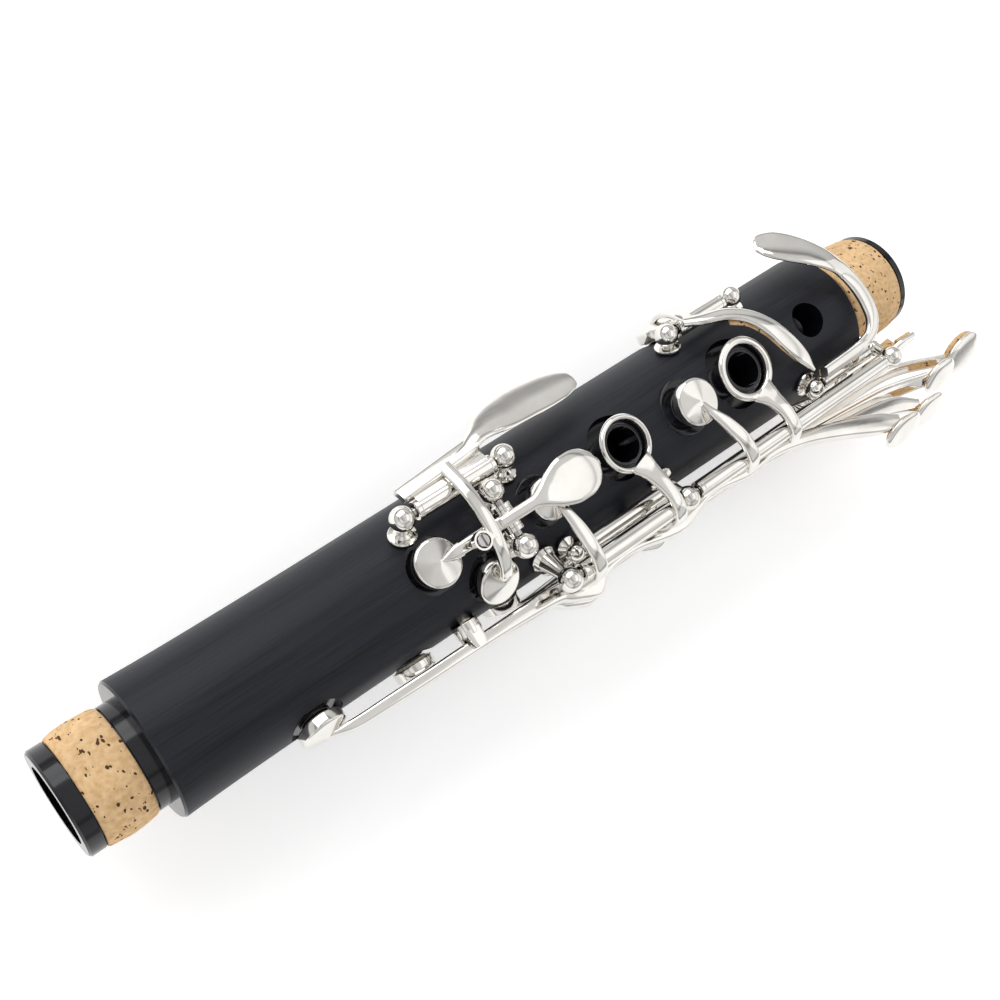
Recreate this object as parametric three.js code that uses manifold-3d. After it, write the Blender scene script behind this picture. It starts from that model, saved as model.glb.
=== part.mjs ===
// Upper joint of a Boehm-system B flat clarinet, with its keywork.
// Millimetres. +X runs down the bore from the barrel end, +Z is the front (finger holes),
// +Y is the player's left. Angles are degrees round the bore, from +Z towards +Y.
import * as THREE from "three";
import { mergeVertices } from "three/addons/utils/BufferGeometryUtils.js";
import Module from "manifold-3d";

const wasm = await Module();
wasm.setup();

// ---------------------------------------------------------------- driving dimensions
const LENGTH = 226.7;
const BORE_RADIUS = 7.5;
const MOUTH_RADIUS = 8.1;
const UPPER_SHOULDER = 17.1;
const LOWER_SHOULDER = 204.5;
const UPPER_TENON_RADIUS = 11.1;
const LOWER_TENON_RADIUS = 12.15;
const CORK_SEAT_DEPTH = 0.9;
const UPPER_CORK = [3.6, 14.0];
const LOWER_CORK = [207.4, 224.2];
const GAP = 0.3;
const BODY_SIDES = 32;
const BORE_SIDES = 24;

const BALL_RADIUS = 2.65;
const SMALL_BALL_RADIUS = 1.9;
const ROD_RADIUS = 0.9;
const TUBE_RADIUS = 2.05;
const TUBE_BORE = 1.3;
const SMALL_ROD_RADIUS = 0.65;
const SMALL_TUBE_RADIUS = 1.55;
const SMALL_TUBE_BORE = 1.0;
const STEM_RADIUS = 1.4;
const STEM_DEPTH = 4;

const SEAT_DEPTH = 1.1; // how far a pad recess goes below the body's surface
const SEAT_RIM = 0.7; // height of the bedplace above the recess floor
const PAD_THICKNESS = 2.0;
const CUP_WALL = 0.5;
const CUP_RIM_HEIGHT = 2.3;
const CUP_CONE_HEIGHT = 1.4;

// Hinge lines that run along the bore: [angle, radius] of the rod.
const GSHARP_LINE = [32.4, 20.14];
const RING_LINE = [-47.4, 23.64];
const INNER_LINE = [-48.3, 18.49];
const SLIVER_LINE = [50.4, 18.82];

// Transverse hinges: place along the bore and distance from the bore's axis.
const A_HINGE = [96.3, 19.3];
const REGISTER_HINGE = [76, 19.4];
const UPPER_PAIR = { x: 110.5, angle: -77, height: 18.8 };
const LOWER_PAIR = { x: 136.5, angle: -107, height: 18.8 };
const PAIR_OFFSET = 2.4;

// Tone holes closed by pads: place, angle, cup radius, hole radius.
const PADS = {
  register: { x: 52, angle: 180, cup: 4.3, hole: 1.6 },
  a: { x: 79.6, angle: 0, cup: 5.0, hole: 3.0 },
  gsharp: { x: 90, angle: -36, cup: 4.9, hole: 2.9 },
  vent: { x: 106.8, angle: -3.5, cup: 4.5, hole: 2.6, boss: 0.1 },
  middle: { x: 149, angle: -3, cup: 5.2, hole: 3.2, boss: 0.5 },
  sliver: { x: 162, angle: 84, cup: 4.7, hole: 2.8 },
  csharp: { x: 192, angle: -104, cup: 4.6, hole: 2.9 },
  side1: { x: 46.3, angle: -68, cup: 5.0, hole: 2.6 },
  side2: { x: 70, angle: -89, cup: 4.5, hole: 2.6 },
  side3: { x: 96, angle: -109.5, cup: 4.4, hole: 2.8 },
  side4: { x: 119, angle: -125, cup: 4.4, hole: 2.6 },
};

// Finger holes: place, angle, hole radius, chimney top radius, seat radius and chimney height.
const FIRST_HOLE = { x: 129.2, angle: -1, hole: 3.9, top: 4.7, seat: 7.2, height: 2.0 };
const SECOND_HOLE = { x: 165.8, angle: -3, hole: 4.1, top: 5.1, seat: 8.1, height: 1.8 };
const THIRD_HOLE = { x: 190.5, angle: 2, hole: 4.2 };
const THUMB_HOLE = { x: 118, angle: 180, hole: 3.7, tube: 4.7, top: 17.4 };

// ---------------------------------------------------------------- places and solids
const radians = THREE.MathUtils.degToRad;
const at = (x, angle, radius) =>
  new THREE.Vector3(x, radius * Math.sin(radians(angle)), radius * Math.cos(radians(angle)));
const X_AXIS = new THREE.Vector3(1, 0, 0);

// Radius of the body's outside, which tapers and flares a little at the barrel end.
const bodyRadius = (x) =>
  14.42 + (x - 60) / 140 + 0.65 * Math.exp(-(x - UPPER_SHOULDER) / 14);

// A closed geometry as a manifold solid with its faces pointing out.
function solid(geometry) {
  const bare = geometry.index ? geometry.toNonIndexed() : geometry.clone();
  const points = new THREE.BufferGeometry();
  points.setAttribute("position", bare.getAttribute("position"));
  const merged = mergeVertices(points, 1e-4);
  const corners = new Uint32Array(merged.index.array);
  const build = () =>
    new wasm.Manifold(
      new wasm.Mesh({
        numProp: 3,
        vertProperties: merged.attributes.position.array,
        triVerts: corners,
      }),
    );
  const made = build();
  if (made.volume() >= 0) return made;
  for (let i = 0; i < corners.length; i += 3) {
    [corners[i + 1], corners[i + 2]] = [corners[i + 2], corners[i + 1]];
  }
  return build();
}

const join = (...solids) => solids.reduce((sum, piece) => sum.add(piece));
const cut = (whole, ...tools) => tools.reduce((rest, tool) => rest.subtract(tool), whole);

// A profile of [radius, height] points turned about an axis: from `base`, height along `axis`.
function turned(profile, base, axis, segments) {
  const outline = profile.map(([radius, height]) => new THREE.Vector2(radius, height));
  const geometry = new THREE.LatheGeometry(outline, segments);
  const turn = new THREE.Quaternion().setFromUnitVectors(new THREE.Vector3(0, 1, 0), axis);
  geometry.applyMatrix4(new THREE.Matrix4().makeRotationFromQuaternion(turn));
  geometry.translate(base.x, base.y, base.z);
  return solid(geometry);
}

// A straight bar or tool of round section between two points.
function roundBar(from, to, radius, segments = 12) {
  const axis = to.clone().sub(from);
  const length = axis.length();
  const profile = [[0, 0], [radius, 0], [radius, length], [0, length]];
  return turned(profile, from, axis.normalize(), segments);
}

// A hollow tube between two points.
function tube(from, to, radius, bore, segments = 10) {
  const axis = to.clone().sub(from);
  const length = axis.length();
  const profile = [[bore, 0], [radius, 0], [radius, length], [bore, length], [bore, 0]];
  return turned(profile, from, axis.normalize(), segments);
}

const radialTool = (x, angle, from, to, radius, segments = 16) =>
  roundBar(at(x, angle, from), at(x, angle, to), radius, segments);

// One section of a swept arm: a point, the way its broad face looks, its width and thickness.
const section = (x, angle, radius, width, thick, facing = angle) => ({
  point: at(x, angle, radius),
  out: at(0, facing, 1),
  width,
  thick,
});

// A bar with chamfered edges swept through sections, smoothed along its length.
function arm(sections, steps = 1) {
  const path = new THREE.CatmullRomCurve3(sections.map((s) => s.point), false, "centripetal");
  const spans = (sections.length - 1) * steps;
  const vertices = [];
  for (let i = 0; i <= spans; i++) {
    const along = i / steps;
    const first = sections[Math.min(Math.floor(along), sections.length - 2)];
    const next = sections[Math.min(Math.floor(along) + 1, sections.length - 1)];
    const blend = along - Math.min(Math.floor(along), sections.length - 2);
    const middle = path.getPoint(i / spans);
    const tangent = path.getTangent(i / spans);
    const side = new THREE.Vector3()
      .crossVectors(tangent, first.out.clone().lerp(next.out, blend))
      .normalize();
    const up = new THREE.Vector3().crossVectors(side, tangent).normalize();
    const width = THREE.MathUtils.lerp(first.width, next.width, blend) / 2;
    const thick = THREE.MathUtils.lerp(first.thick, next.thick, blend) / 2;
    const chamfer = 0.4 * Math.min(width, thick);
    const ring = [
      [width, thick - chamfer],
      [width - chamfer, thick],
      [chamfer - width, thick],
      [-width, thick - chamfer],
      [-width, chamfer - thick],
      [chamfer - width, -thick],
      [width - chamfer, -thick],
      [width, chamfer - thick],
    ];
    for (const [across, out] of ring) {
      vertices.push(middle.clone().addScaledVector(side, across).addScaledVector(up, out));
    }
  }
  const faces = [];
  const sides = 8;
  for (let i = 0; i < spans; i++) {
    for (let j = 0; j < sides; j++) {
      const a = i * sides + j;
      const b = i * sides + ((j + 1) % sides);
      faces.push(a, b, b + sides, a, b + sides, a + sides);
    }
  }
  const last = spans * sides;
  for (let j = 1; j < sides - 1; j++) {
    faces.push(0, j + 1, j, last, last + j, last + j + 1);
  }
  const geometry = new THREE.BufferGeometry().setFromPoints(vertices);
  geometry.setIndex(faces);
  return solid(geometry);
}

// An oval button: long half-axis along the bore, short half-axis across, facing `facing`.
function button(centre, facing, long, short, thick, lean) {
  const geometry = new THREE.SphereGeometry(1, 12, 6);
  geometry.scale(long, short, thick / 2);
  geometry.rotateZ(radians(lean));
  const out = at(0, facing, 1);
  const across = new THREE.Vector3().crossVectors(out, X_AXIS);
  const basis = new THREE.Matrix4().makeBasis(X_AXIS, across, out);
  geometry.applyMatrix4(basis);
  geometry.translate(centre.x, centre.y, centre.z);
  return solid(geometry);
}

// ---------------------------------------------------------------- pads and cups
const seatHeight = (pad) => bodyRadius(pad.x) + (pad.boss ?? SEAT_RIM - SEAT_DEPTH);

// The tool that clears the recess round a tone hole's bedplace.
const recess = (pad) =>
  radialTool(pad.x, pad.angle, bodyRadius(pad.x) - SEAT_DEPTH, 24, pad.cup + 0.9, 16);

// The bedplace the pad closes on, with the boss under it where the hole is raised.
function bedplace(pad) {
  const top = seatHeight(pad);
  const rim = radialTool(pad.x, pad.angle, 11, top, pad.hole + 0.8, 12);
  if (!pad.boss) return rim;
  return join(rim, radialTool(pad.x, pad.angle, 11, top - 0.5, pad.cup + 1.2, 16));
}

function padSolid(pad) {
  const base = seatHeight(pad) + GAP;
  return radialTool(pad.x, pad.angle, base, base + PAD_THICKNESS, pad.cup - CUP_WALL - GAP, 14);
}

// Height of the cup's point above the bore's axis.
const cupTop = (pad) =>
  seatHeight(pad) + 2 * GAP + PAD_THICKNESS + CUP_WALL + CUP_CONE_HEIGHT;

function cup(pad) {
  const inside = PAD_THICKNESS + 2 * GAP;
  const shoulder = inside + CUP_WALL;
  const profile = [
    [0, inside],
    [pad.cup - CUP_WALL, inside],
    [pad.cup - CUP_WALL, shoulder - CUP_RIM_HEIGHT],
    [pad.cup, shoulder - CUP_RIM_HEIGHT],
    [pad.cup, shoulder],
    [0, shoulder + CUP_CONE_HEIGHT],
  ];
  return turned(profile, at(pad.x, pad.angle, seatHeight(pad)), at(0, pad.angle, 1), 16);
}

// Turns a solid about a line along `axis` through `pivot`.
function swing(piece, pivot, axis, angle) {
  const matrix = new THREE.Matrix4()
    .makeTranslation(pivot.x, pivot.y, pivot.z)
    .multiply(new THREE.Matrix4().makeRotationAxis(axis, radians(angle)))
    .multiply(new THREE.Matrix4().makeTranslation(-pivot.x, -pivot.y, -pivot.z));
  return piece.transform(matrix.toArray());
}

// ---------------------------------------------------------------- posts
// A ball on a turned foot, screwed into the body; rods are the lines that pass through it.
function post({ x, angle, height, ball = BALL_RADIUS, foot = 3, neck = 1.35, flared = false }) {
  const surface = bodyRadius(x) + GAP;
  const low = Math.min(surface + 1.4, height - ball * 0.75 - GAP);
  const waist = flared ? [[neck + 0.9, surface + 2.2]] : [[neck, low]];
  const profile = [
    [0, surface - STEM_DEPTH],
    [STEM_RADIUS, surface - STEM_DEPTH],
    [STEM_RADIUS, surface],
    [foot, surface],
    [foot, surface + 0.8],
    ...waist,
  ];
  for (const turn of [-45, 0, 45, 90]) {
    const out = Math.max(ball * Math.cos(radians(turn)), 0);
    profile.push([turn === 90 ? 0 : out, height + ball * Math.sin(radians(turn))]);
  }
  return turned(profile, at(x, angle, 0), at(0, angle, 1), 10);
}

function sphere(centre, radius) {
  const geometry = new THREE.SphereGeometry(radius, 10, 6);
  geometry.translate(centre.x, centre.y, centre.z);
  return solid(geometry);
}

const postHole = ({ x, angle }) =>
  radialTool(x, angle, bodyRadius(x) - STEM_DEPTH, 22, STEM_RADIUS + GAP, 8);

// The tool that drills a rod's way through posts along a hinge line.
const lineTool = (line, from, to, radius) =>
  roundBar(at(from, line[0], line[1]), at(to, line[0], line[1]), radius, 10);

// ---------------------------------------------------------------- the frames of the side keys
// A point in a side-key pair's frame: x, height along the pair's radius, offset towards the front.
function pairPoint(pair, x, height, offset) {
  return at(x, pair.angle, height).add(at(0, pair.angle + 90, offset));
}

const sideSection = (pair, x, height, offset, width, thick) => ({
  point: pairPoint(pair, x, height, offset),
  out: at(0, pair.angle, 1),
  width,
  thick,
});

// ---------------------------------------------------------------- the model's group
const clarinet = new THREE.Group();
clarinet.name = "clarinet_upper_joint";
const finishes = {
  blackwood: new THREE.MeshStandardMaterial({ color: 0x1b1c20, roughness: 0.45 }),
  cork: new THREE.MeshStandardMaterial({ color: 0xc9a06a, roughness: 0.85 }),
  silver: new THREE.MeshStandardMaterial({ color: 0xe6e3dc, roughness: 0.12, metalness: 1 }),
  steel: new THREE.MeshStandardMaterial({ color: 0x9a9ca0, roughness: 0.3, metalness: 1 }),
  pad: new THREE.MeshStandardMaterial({ color: 0xe9e0cf, roughness: 0.8 }),
};

// Adds one named mesh, placed at `pivot` with its geometry measured from there.
function addMesh(name, piece, finish, pivot = new THREE.Vector3()) {
  const mesh = piece.getMesh();
  const positions = new Float32Array(mesh.numVert * 3);
  for (let i = 0; i < mesh.numVert; i++) {
    positions.set(mesh.vertProperties.subarray(i * mesh.numProp, i * mesh.numProp + 3), i * 3);
  }
  const geometry = new THREE.BufferGeometry();
  geometry.setAttribute("position", new THREE.BufferAttribute(positions, 3));
  geometry.setIndex(new THREE.BufferAttribute(mesh.triVerts, 1));
  geometry.translate(-pivot.x, -pivot.y, -pivot.z);
  geometry.computeVertexNormals();
  const made = new THREE.Mesh(geometry, finishes[finish]);
  made.name = name;
  made.position.copy(pivot);
  clarinet.add(made);
}

// ---------------------------------------------------------------- posts' places
const POSTS = {
  gsharp_post_upper: { x: 78, angle: GSHARP_LINE[0], height: GSHARP_LINE[1] },
  gsharp_post_lower: { x: 103.6, angle: GSHARP_LINE[0], height: GSHARP_LINE[1] },
  ring_post_upper: { x: 102.5, angle: RING_LINE[0], height: RING_LINE[1], flared: true },
  ring_post_middle: { x: 136.5, angle: RING_LINE[0], height: RING_LINE[1] },
  ring_post_lower: { x: 205.4, angle: RING_LINE[0], height: RING_LINE[1], foot: 2.6 },
  thumb_ring_post: { x: 108.6, angle: INNER_LINE[0], height: INNER_LINE[1], small: true },
  csharp_post: { x: 184, angle: INNER_LINE[0], height: INNER_LINE[1], ball: 2.3 },
  sliver_post_upper: { x: 156.6, angle: SLIVER_LINE[0], height: SLIVER_LINE[1] },
  sliver_post_lower: { x: 177, angle: SLIVER_LINE[0], height: SLIVER_LINE[1] },
};
const SMALL_POST = { ball: SMALL_BALL_RADIUS, foot: 2.2, neck: 1.1 };
const A_POST_ANGLE = 18.2;
const REGISTER_POST_ANGLE = 19;
const A_POSTS = {
  a_post_left: { x: A_HINGE[0], angle: A_POST_ANGLE },
  a_post_right: { x: A_HINGE[0], angle: -A_POST_ANGLE },
};
const REGISTER_POSTS = {
  register_post_left: { x: REGISTER_HINGE[0], angle: 180 - REGISTER_POST_ANGLE },
  register_post_right: { x: REGISTER_HINGE[0], angle: 180 + REGISTER_POST_ANGLE },
};
const aPostHeight = A_HINGE[1] / Math.cos(radians(A_POST_ANGLE));
const registerPostHeight = REGISTER_HINGE[1] / Math.cos(radians(REGISTER_POST_ANGLE));
const GUIDE = { x: 81.6, angle: -60 };

// ---------------------------------------------------------------- body
function makeBody() {
  const stations = [];
  for (const x of [UPPER_SHOULDER, 26, 44, LOWER_SHOULDER]) {
    stations.push([bodyRadius(x), x]);
  }
  const upperSeat = UPPER_TENON_RADIUS - CORK_SEAT_DEPTH;
  const lowerSeat = LOWER_TENON_RADIUS - CORK_SEAT_DEPTH;
  const profile = [
    [0, 0],
    [UPPER_TENON_RADIUS - 0.5, 0],
    [UPPER_TENON_RADIUS, 0.5],
    [UPPER_TENON_RADIUS, UPPER_CORK[0] - GAP],
    [upperSeat, UPPER_CORK[0] - GAP],
    [upperSeat, UPPER_CORK[1] + GAP],
    [UPPER_TENON_RADIUS, UPPER_CORK[1] + GAP],
    [UPPER_TENON_RADIUS, UPPER_SHOULDER],
    ...stations,
    [LOWER_TENON_RADIUS, LOWER_SHOULDER],
    [LOWER_TENON_RADIUS, LOWER_CORK[0] - GAP],
    [lowerSeat, LOWER_CORK[0] - GAP],
    [lowerSeat, LOWER_CORK[1] + GAP],
    [LOWER_TENON_RADIUS, LOWER_CORK[1] + GAP],
    [LOWER_TENON_RADIUS, LENGTH - 0.6],
    [LOWER_TENON_RADIUS - 0.6, LENGTH],
    [0, LENGTH],
  ];
  let body = turned(profile, new THREE.Vector3(), X_AXIS, BODY_SIDES);
  const pads = Object.values(PADS);
  body = cut(body, ...pads.filter((pad) => !pad.boss).map(recess), ...CHIMNEYS.map(ringSeat));
  body = join(body, ...pads.map(bedplace), ...CHIMNEYS.map(chimney));
  const holes = pads.map((pad) => radialTool(pad.x, pad.angle, 0, 24, pad.hole, 10));
  for (const hole of [FIRST_HOLE, SECOND_HOLE, THIRD_HOLE, THUMB_HOLE]) {
    const clearance = hole === THUMB_HOLE ? 1 + GAP : 0;
    holes.push(radialTool(hole.x, hole.angle, 0, 24, hole.hole + clearance, 16));
  }
  const sockets = Object.values({ ...POSTS, ...A_POSTS, ...REGISTER_POSTS, GUIDE }).map(postHole);
  body = cut(body, ...holes, ...sockets, registerSocket(), boreTool());
  return body;
}

// The bore, a little wider at both mouths, cut after the bedplaces and chimneys are joined on.
function boreTool() {
  const profile = [
    [0, -1],
    [MOUTH_RADIUS + 0.4, -1],
    [BORE_RADIUS, 1.6],
    [BORE_RADIUS, LENGTH - 1.6],
    [MOUTH_RADIUS + 0.4, LENGTH + 1],
    [0, LENGTH + 1],
  ];
  return turned(profile, new THREE.Vector3(), X_AXIS, BORE_SIDES);
}

const registerSocket = () => radialTool(PADS.register.x, 180, 0, 24, PADS.register.hole + 1.3, 14);

// The raised collar round an open finger hole, and the seat its ring drops into.
const CHIMNEYS = [FIRST_HOLE, SECOND_HOLE];

const ringSeat = ({ x, angle, seat }) =>
  radialTool(x, angle, bodyRadius(x) - SEAT_DEPTH, 24, seat, 18);

const chimney = ({ x, angle, top, height }) =>
  radialTool(x, angle, 11, bodyRadius(x) + height, top, 18);

function tenonCork([from, to], seat, edge, middle) {
  const inside = seat + GAP;
  const profile = [
    [inside, from],
    [edge, from],
    [(edge + middle) / 2, from + 1.2],
    [middle, (from + to) / 2],
    [(edge + middle) / 2, to - 1.2],
    [edge, to],
    [inside, to],
    [inside, from],
  ];
  return turned(profile, new THREE.Vector3(), X_AXIS, 24);
}

function addBody() {
  addMesh("body", makeBody(), "blackwood");
  const upperSeat = UPPER_TENON_RADIUS - CORK_SEAT_DEPTH;
  const lowerSeat = LOWER_TENON_RADIUS - CORK_SEAT_DEPTH;
  addMesh("barrel_tenon_cork", tenonCork(UPPER_CORK, upperSeat, 11.2, 11.9), "cork");
  addMesh("middle_tenon_cork", tenonCork(LOWER_CORK, lowerSeat, 12.3, 12.85), "cork");
  const seat = seatHeight(PADS.register);
  const nipple = tube(at(PADS.register.x, 180, 5.6), at(PADS.register.x, 180, seat), 2.6, 1.5, 12);
  addMesh("register_tube", nipple, "silver");
  const { x, hole, tube: outside, top } = THUMB_HOLE;
  const bush = tube(at(x, 180, 6.9), at(x, 180, top), outside, hole, 18);
  addMesh("thumb_tube", cut(bush, boreTool()), "blackwood");
}

// ---------------------------------------------------------------- posts and rods
function addPosts() {
  for (const [name, place] of Object.entries(POSTS)) {
    const shape = place.small ? { ...place, ...SMALL_POST } : place;
    let made = post(shape);
    if (name === "ring_post_middle" || name === "ring_post_lower") {
      made = join(made, sphere(at(place.x, INNER_LINE[0], INNER_LINE[1]), SMALL_BALL_RADIUS));
    }
    const big = lineTool([place.angle, place.height], place.x - 6, place.x + 6, ROD_RADIUS + GAP);
    const small = lineTool(INNER_LINE, place.x - 6, place.x + 6, SMALL_ROD_RADIUS + GAP);
    const inner = place.angle === INNER_LINE[0];
    const doubled = name === "ring_post_middle" || name === "ring_post_lower";
    if (!inner) made = cut(made, big);
    if (inner || doubled) made = cut(made, small);
    addMesh(name, made, "silver", at(place.x, place.angle, place.height));
  }
  for (const [name, place] of Object.entries(A_POSTS)) {
    const made = post({ ...place, height: aPostHeight });
    addMesh(name, cut(made, crossTool(A_HINGE, 0, 10)), "silver");
  }
  for (const [name, place] of Object.entries(REGISTER_POSTS)) {
    const made = post({ ...place, height: registerPostHeight });
    addMesh(name, cut(made, crossTool(REGISTER_HINGE, 180, 10)), "silver");
  }
  addMesh("trill_guide", guidePost(), "silver");
}

// A round tool or bar across the bore at a transverse hinge.
function crossTool([x, height], angle, half, radius = ROD_RADIUS + GAP) {
  const middle = at(x, angle, height);
  const across = new THREE.Vector3(0, half, 0);
  return roundBar(middle.clone().sub(across), middle.clone().add(across), radius, 10);
}

// The short slotted pillar that keeps the longest side key in line.
function guidePost() {
  const { x, angle } = GUIDE;
  const surface = bodyRadius(x) + GAP;
  const stem = radialTool(x, angle, surface - STEM_DEPTH, surface + 0.5, STEM_RADIUS, 10);
  const lever = pairPoint(UPPER_PAIR, x, 20, PAIR_OFFSET);
  const barrel = new THREE.Vector3(x, 0, 0);
  const pillar = cut(
    roundBar(at(x, angle, 12), lever, 2.9, 16),
    roundBar(barrel.clone().setX(x - 9), barrel.clone().setX(x + 9), surface + 0.08, 32),
  );
  const slot = arm([
    sideSection(UPPER_PAIR, x - 6, 20.2, PAIR_OFFSET, 3.8, 6.4),
    sideSection(UPPER_PAIR, x + 6, 20.2, PAIR_OFFSET, 3.8, 6.4),
  ]);
  return cut(join(stem, pillar), slot);
}

function addRods() {
  const rod = (name, line, from, to, radius) =>
    addMesh(name, lineTool(line, from, to, radius), "steel", at(from, line[0], line[1]));
  rod("gsharp_rod", GSHARP_LINE, 75.8, 105.8, ROD_RADIUS);
  rod("ring_rod_upper", RING_LINE, 100.3, 136.1, ROD_RADIUS);
  rod("ring_rod_lower", RING_LINE, 136.9, 207.6, ROD_RADIUS);
  rod("thumb_ring_rod", INNER_LINE, 107.2, 137.9, SMALL_ROD_RADIUS);
  rod("csharp_rod", INNER_LINE, 182.2, 206.8, SMALL_ROD_RADIUS);
  rod("sliver_rod", SLIVER_LINE, 154.4, 179.2, ROD_RADIUS);
  addMesh("a_rod", crossTool(A_HINGE, 0, 8.4, ROD_RADIUS), "steel");
  addMesh("register_rod", crossTool(REGISTER_HINGE, 180, 8.6, ROD_RADIUS), "steel");
}

// ---------------------------------------------------------------- keys on lines along the bore
const lineTube = (line, from, to, radius = TUBE_RADIUS, bore = TUBE_BORE) =>
  tube(at(from, line[0], line[1]), at(to, line[0], line[1]), radius, bore);

const pivotOf = (line, x) => at(x, line[0], line[1]);

function addGsharpKey() {
  const pad = PADS.gsharp;
  const top = cupTop(pad);
  const touch = arm([
    section(79.7, 40, 22.9, 3.2, 1.7, 34),
    section(90, 41, 23.1, 3.4, 1.8, 34),
    section(97.0, 42.5, 23.4, 3.8, 1.9, 36),
    section(100.6, 45.6, 23.9, 4.6, 1.8, 38),
    section(104.0, 48.6, 24.1, 7.6, 1.7, 38),
    section(108.0, 50.4, 24.1, 10.2, 1.7, 38),
    section(113.0, 51.6, 23.9, 11.2, 1.7, 38),
    section(118.4, 51.6, 23.6, 11.0, 1.6, 38),
    section(123.2, 50.9, 23.3, 9.4, 1.5, 38),
    section(126.6, 50.2, 23.0, 6.4, 1.3, 38),
    section(128.6, 49.7, 22.9, 2.4, 1.1, 38),
  ]);
  const padArm = arm([
    section(91, 41, 23.6, 3.2, 1.8),
    section(90.8, 25, 23.2, 3.0, 1.8),
    section(90.6, 8, 22.7, 3.0, 1.8),
    section(90.4, -8, 22.2, 3.0, 1.8),
    section(90.2, -21, 21.2, 2.8, 1.7),
    section(90.0, -29, 20.2, 2.2, 1.5),
    section(90.0, pad.angle, top - 0.6, 1.4, 1.2),
  ]);
  const boss = radialTool(87.4, -2, 21.5, 23.4, 2.0, 14);
  const web = arm([section(90.4, -2, 22.4, 2.2, 1.6), section(87.4, -2, 22.4, 2.2, 1.6)]);
  const rib = arm([section(82, 36, 21.8, 3.4, 1.6), section(99.5, 36, 21.8, 3.4, 1.6)]);
  const drilled = radialTool(87.4, -2, 20, 25, 1.6, 12);
  const line = lineTube(GSHARP_LINE, 81.1, 100.6);
  const made = cut(join(line, rib, touch, padArm, boss, web, cup(pad)), drilled, boreOf(GSHARP_LINE));
  addMesh("gsharp_key", made, "silver", pivotOf(GSHARP_LINE, 90));
  addMesh("gsharp_pad", padSolid(pad), "pad");
  const screw = radialTool(87.4, -2, 21.4, 23.6, 1.3, 12);
  const slot = arm([section(84, -2, 23.7, 0.4, 0.7), section(91, -2, 23.7, 0.4, 0.7)]);
  addMesh("adjusting_screw", cut(screw, slot), "steel");
}

// The way through a key for its rod, cut again after the arms are joined on.
const boreOf = (line, radius = TUBE_BORE) => lineTool(line, -5, 235, radius);

function addFirstRingKey() {
  const pad = PADS.vent;
  const pivot = pivotOf(RING_LINE, 120);
  const open = 4.8;
  const raised = (piece) => swing(piece, pivot, X_AXIS, open);
  const ring = raised(keyRing(FIRST_HOLE, 5.1, 6.4));
  const top = cupTop(pad) + 1.3;
  const ventArm = arm([
    section(106.9, -5, top - 0.4, 1.4, 1.2),
    section(107.0, -12, 21.4, 2.2, 1.6),
    section(107.8, -24, 22.9, 3.0, 1.8),
    section(108.4, -36, 24.9, 3.2, 1.8),
    section(108.8, -46, 26.2, 3.2, 1.6),
    section(109.0, -53, 25.6, 3.0, 1.4),
  ]);
  const ringArm = arm([
    section(129.8, -16, 18.7, 6.4, 1.2, -4),
    section(130.6, -23, 19.8, 4.8, 1.4, -10),
    section(131.4, -33, 22.6, 3.6, 1.7),
    section(132.0, -42, 25.2, 3.2, 1.8),
    section(132.0, -49, 26.2, 3.2, 1.5),
    section(132.0, -55, 25.4, 3.0, 1.3),
  ]);
  const line = lineTube(RING_LINE, 105.5, 133.6);
  const key = join(line, ventArm, ringArm, ring, raised(cup(pad)));
  addMesh("first_ring_key", cut(key, boreOf(RING_LINE)), "silver", pivot);
  addMesh("first_ring_pad", raised(padSolid(pad)), "pad");
}

// The ring that a finger presses round a chimney, in its closed place.
function keyRing({ x, angle, height }, inner, outer) {
  const top = bodyRadius(x) + height + GAP;
  const profile = [
    [inner, top - 1.3],
    [outer - 0.3, top - 1.3],
    [outer, top - 0.9],
    [outer, top - 0.4],
    [outer - 0.5, top],
    [inner + 0.4, top],
    [inner, top - 0.4],
    [inner, top - 1.3],
  ];
  return turned(profile, at(x, angle, 0), at(0, angle, 1), 20);
}

function addSecondRingKey() {
  const pad = PADS.middle;
  const pivot = pivotOf(RING_LINE, 170);
  const open = 4.8;
  const raised = (piece) => swing(piece, pivot, X_AXIS, open);
  const ring = raised(keyRing(SECOND_HOLE, 5.55, 7.3));
  const top = cupTop(pad) + 1.4;
  const padArm = arm([
    section(149.0, -6, top - 0.5, 1.4, 1.2),
    section(149.5, -12, top + 0.4, 2.0, 1.5),
    section(151.4, -22, 23.2, 3.0, 1.8),
    section(153.4, -33, 24.9, 3.2, 1.8),
    section(154.6, -44, 26.2, 3.2, 1.6),
    section(155.0, -53, 25.7, 3.0, 1.4),
  ]);
  const ringArm = arm([
    section(166.6, -21, 19.2, 6.8, 1.2, -8),
    section(167.6, -28, 20.8, 4.6, 1.5, -14),
    section(168.4, -37, 23.8, 3.4, 1.8),
    section(168.9, -45, 25.9, 3.2, 1.7),
    section(169.0, -53, 25.8, 3.0, 1.4),
  ]);
  const bridge = arm([
    section(197.0, -50, 22.8, 2.4, 2.0),
    section(200.4, -56, 21.7, 2.6, 1.6),
    section(205.4, -60, 20.9, 2.8, 1.5),
    section(209.6, -56, 20.9, 3.0, 1.5),
    section(213.0, -52, 21.2, 3.0, 1.4),
    section(217.4, -51, 21.4, 2.2, 1.2),
  ]);
  const line = lineTube(RING_LINE, 139.5, 202.3);
  const key = join(line, padArm, ringArm, bridge, ring, raised(cup(pad)));
  addMesh("second_ring_key", cut(key, boreOf(RING_LINE)), "silver", pivot);
  addMesh("second_ring_pad", raised(padSolid(pad)), "pad");
}

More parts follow.
